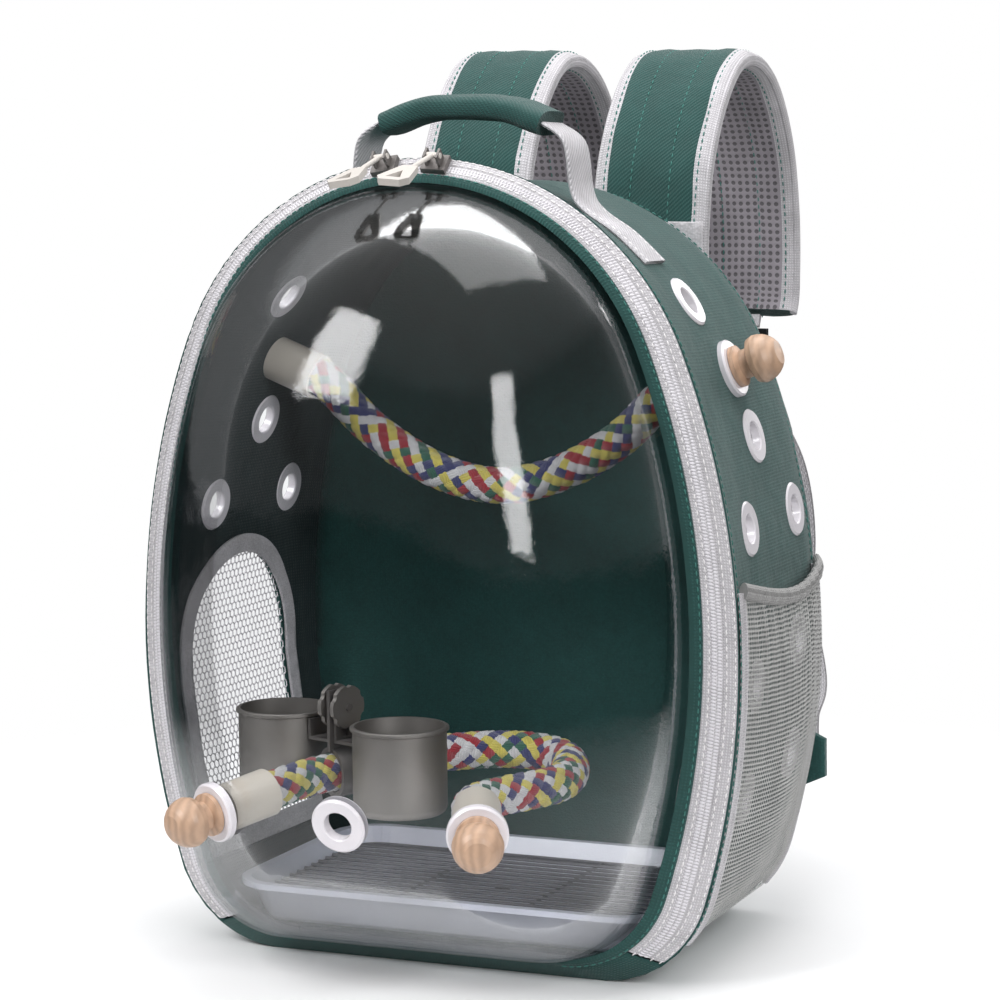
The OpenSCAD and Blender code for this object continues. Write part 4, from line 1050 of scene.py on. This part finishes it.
# --- Handle and straps
def handle_pieces():
    """The carry handle: a webbing leg on each side, its box stitches and the padded grip."""
    def at(x, z):
        return Vector((x, HANDLE_Y, z))

    lay = HANDLE_T / 2 + 0.8
    slope = (top_z(0, HANDLE_Y - HANDLE_W / 2) - top_z(0, HANDLE_Y + HANDLE_W / 2)) / HANDLE_W
    end = at(GRIP_X, HANDLE_TOP - 8)
    half = [at(x, top_z(x, HANDLE_Y) + lay) for x in (100, 84, 68)]
    half += [at(61, top_z(61, HANDLE_Y) + 8), at(57, HANDLE_TOP - 18), end + Vector((0.6, 0, -0.4))]
    path = smooth(half, 8)
    guide = Vector((0, 1, -slope))
    for side, line, nodes in (("right", path, ["handle_webbing"]), ("left", mirrored(path), ())):
        strip("handle_web_" + side, line, ribbon(HANDLE_W, HANDLE_T), white_webbing, nodes, guide)
    rows = []
    for edge in (-11.5, 11.5):
        row_at = [p + edge * s + Vector((0, 0, 1.3)) for p, t, s, u in frames(path[:17], guide)]
        rows += [row_at, mirrored(row_at)]
    stitches("handle_stitches", rows, thread_white, "bag", "webbing")
    route = [flipped(end), at(-GRIP_X / 2, HANDLE_TOP - 1), at(0, HANDLE_TOP),
             at(GRIP_X / 2, HANDLE_TOP - 1), end]
    line = smooth(route, 12)
    mesh = sweep("grip_pad", line, oval(HANDLE_W / 2 + 2, GRIP_T / 2, 24, 0.62), (0, 1, 0))
    roughen(mesh.vertices, 14, 0.6, (9, 0, 0))
    pad = place("grip_pad", mesh, [green_twill], "bag", ["handle_grip"], 60)
    rows = [[p + e * s + Vector((0, 0, 4.6)) for p, t, s, u in frames(line[2:-2], (0, 1, 0))]
            for e in (-13.5, 13.5)]
    stitches("grip_stitches", rows, thread_white, "bag", "shell_fabric")


handle_pieces()


def strap_pieces():
    """The two shoulder straps: padded, mesh inside, bound in white, with four stitched lines."""
    steps = [(0, 0), (1, 22), (9, 56), (30, 88), (58, 108), (88, 108), (116, 92), (138, 60), (148, 20),
             (148, -20), (143, -34)]
    route = smooth([Vector((STRAP_X, STRAP_Y + a, STRAP_Z + b)) for a, b in steps], 7)
    centre = Vector((0, STRAP_Y + 72, STRAP_Z + 30))
    section = []
    for a, b in oval(STRAP_W / 2 - 1, STRAP_T / 2, 36, 0.55):
        groove = exp(-((abs(a) - 11) / 1.6) ** 2)
        section.append((a, b * (1 - 0.2 * groove)))

    def face_of(mid, off):
        """0 on the cloth outside, 1 on the mesh inside, 2 on the borders."""
        if abs(off.x) > STRAP_W / 2 - 8:
            return 2
        out = mid - centre
        return 0 if off.dot(Vector((0, out.y, out.z))) > 0 else 1

    for side, seed, line in (("right", 4, route), ("left", -4, mirrored(route))):
        name = "strap_pad_" + side
        mesh = sweep(name, line, section, (1, 0, 0), mark=face_of)
        roughen(mesh.vertices, 25, 0.8, (seed, 0, 0))
        pad = place(name, mesh, [green_twill, spacer_grey, white_tape], "bag",
                    ["strap_" + side], 60)
        walk = frames(line, (1, 0, 0))
        for k, edge in enumerate((1.2 - STRAP_W / 2, STRAP_W / 2 - 1.2)):
            border = [p + edge * s for p, t, s, u in walk]
            strip(f"strap_edge_{side}_{k}", border, oval(1.9, 3.4), white_tape)
        rows = [[p + e * s + face * h * u for p, t, s, u in walk]
                for e, h in ((-26.5, 5.2), (26.5, 5.2), (-11, 5.3), (11, 5.3)) for face in (1, -1)]
        stitches("strap_stitches_" + side, rows, thread_green, "bag", "shell_fabric", 4.4)


strap_pieces()


def webbing_pieces():
    """The webbing from each lock down to its corner tab, and its loose tail."""
    low = 5 - LOCK_H / 2
    off_lock = LOCK_T / 2 + WEBBING_T / 2 + 0.3
    web_0, tail_0 = (LOCK_AT + Vector((0, side * off_lock, low)) for side in (-1, 1))
    end = Vector((BODY_W / 2 - TAPER - 12, BACK_Y + 4 + WEBBING_T / 2 + 0.3, 86))
    web = [web_0 + Vector(d) for d in ((0, 0, 0), (0, 0, -8), (3, -2, -26))]
    web += [Vector((STRAP_X + 36, BACK_Y + 108, 182)), Vector((STRAP_X + 72, BACK_Y + 52, 122)),
            end + Vector((-4, 9, 18)), end]
    tail = [tail_0 + Vector(d) for d in ((0, 0, 0), (0, 0, -8), (9, 2, -28), (26, 4, -62), (32, 3, -104),
                                         (28, 0, -146))]
    for node, name, route in (("strap_webbing", "adjuster_web", web), ("webbing_tails", "web_tail", tail)):
        path = smooth(route, 10)
        for side, line, nodes in (("right", path, [node]), ("left", mirrored(path), ())):
            strip(f"{name}_{side}", line, ribbon(WEBBING_W, WEBBING_T), white_webbing, nodes)


webbing_pieces()


# --- Hard pieces that keep the part's shape
def pair(*names):
    return [name + side for name in names for side in ("_left", "_right")]


KEPT = {
    eyelet_white: [*pair("side_vents"), "front_vent", "upper_washers", "lower_washers"],
    ferrule_ivory: ["upper_ferrules", "lower_ferrules"],
    knob_wood: pair("upper_knob", "lower_knob"),
    steel_bright: [*pair("cup", "cup_nut"), "upper_studs", "lower_studs"],
    steel_brushed: ["cup_clamp", "cup_rod", *pair("cup_hook", "slider")],
    steel_dark: ["floor_grid"],
    tray_grey: ["tray"],
    buckle_black: ["ladder_locks"],
    pull_grey: pair("pull"),
}
for mat, names in KEPT.items():
    for name in names:
        NODES[name].data.materials.clear()
        NODES[name].data.materials.append(mat)


# --- Stage, light and camera
def floor_look():
    """Pale floor that fades into the white background away from the object."""
    mat = new_material("floor_pale")
    pale = Nodes(mat.node_tree)
    shader = settle(mat.node_tree.nodes["Principled BSDF"], Roughness=0.9)
    where = pale.node("ShaderNodeTexCoord").outputs["Object"]
    far = pale.fed(where, 0, "ShaderNodeVectorMath")
    far.operation = "LENGTH"
    fade = pale.fed(far.outputs["Value"], "Value", "ShaderNodeMapRange", From_Min=0.25, From_Max=0.62)
    grain = pale.fed(where, "Vector", "ShaderNodeTexNoise", Scale=3)
    tint = pale.mix(grain.outputs["Fac"], [0.86, 0.86, 0.87, 1], [0.90, 0.90, 0.90, 1])
    pale.link(tint, shader.inputs["Base Color"])
    clear = pale.node("ShaderNodeBsdfTransparent")
    pale.surface("Material Output", fade.outputs[0], shader, clear)
    return mat


def stage(radius=900, sides=64):
    disc = [(x * MM, y * MM, -0.0002) for x, y in oval(radius, radius, sides)]
    mesh = bpy.data.meshes.new("floor")
    mesh.from_pydata(disc, [], [tuple(range(sides))])
    mesh.materials.append(floor_look())
    new_object("floor", mesh)


def room():
    """White for the camera. All other rays see a grey room that is lighter above."""
    world = bpy.data.worlds.new("studio")
    SCENE.world = world
    world.use_nodes = True
    sky = Nodes(world.node_tree)
    grey_room = settle(world.node_tree.nodes["Background"], Strength=1.0)
    up = sky.fed(sky.node("ShaderNodeTexCoord").outputs["Generated"], 0, "ShaderNodeSeparateXYZ")
    ramp = sky.fed(up.outputs["Z"], 0, "ShaderNodeValToRGB")
    for height, grey in ROOM_GREYS:
        stop = ramp.color_ramp.elements.new(height)
        stop.color = (grey, grey * 1.01, grey * 1.03, 1)
    sky.link(ramp.outputs[0], grey_room.inputs["Color"])
    white = sky.node("ShaderNodeBackground", Color=(1, 1, 1, 1), Strength=1.0)
    ray = sky.node("ShaderNodeLightPath")
    sky.surface("World Output", ray.outputs["Is Camera Ray"], grey_room, white)


def softbox(name, at, size, power):
    """A soft lamp turned towards the middle of the bag."""
    data = bpy.data.lights.new(name, "AREA")
    data.shape = "RECTANGLE"
    data.size, data.size_y = size
    data.energy = power
    lamp = new_object(name, data)
    lamp.location = at
    lamp.rotation_euler = (Vector((0, 0, 0.2)) - Vector(at)).to_track_quat("-Z", "Y").to_euler()


def camera(az, el, roll, dist, shift, focal):
    """A camera seen from az, el degrees, whose picture is focal times narrower than its distance."""
    az, el, roll = radians(az), radians(el), radians(roll)
    back = Vector((sin(az) * cos(el), -cos(az) * cos(el), sin(el)))
    right = (-back).cross(Vector((0, 0, 1))).normalized()
    up = right.cross(-back)
    target = Vector((0, 0, BODY_H * MM / 2)) + right * shift[0] + up * shift[1]
    turned = (right * cos(roll) + up * sin(roll), up * cos(roll) - right * sin(roll), back)
    data = bpy.data.cameras.new("photo_camera")
    data.sensor_width, data.lens, data.clip_end = 36, 36 * focal, 20
    eye = new_object("photo_camera", data)
    eye.matrix_world = Matrix.Translation(target + back * dist) @ Matrix(turned).transposed().to_4x4()
    SCENE.camera = eye


ROOM_GREYS = ((0.0, 0.22), (0.5, 0.3), (0.62, 0.62), (1.0, 0.8))
stage()
room()
softbox("key", (-0.9, -1.5, 1.5), (0.7, 1.0), 30)
softbox("fill", (1.5, -1.2, 0.9), (0.4, 1.2), 19)
softbox("top", (0.1, 0.2, 1.7), (1.3, 1.0), 15)
softbox("rear", (0.8, 1.6, 0.9), (1.2, 1.0), 10)
camera(az=23.77, el=7.51, roll=-0.65, dist=1.9, shift=(0.0021, 0.02307), focal=3.627)
SCENE.view_settings.view_transform = "Standard"
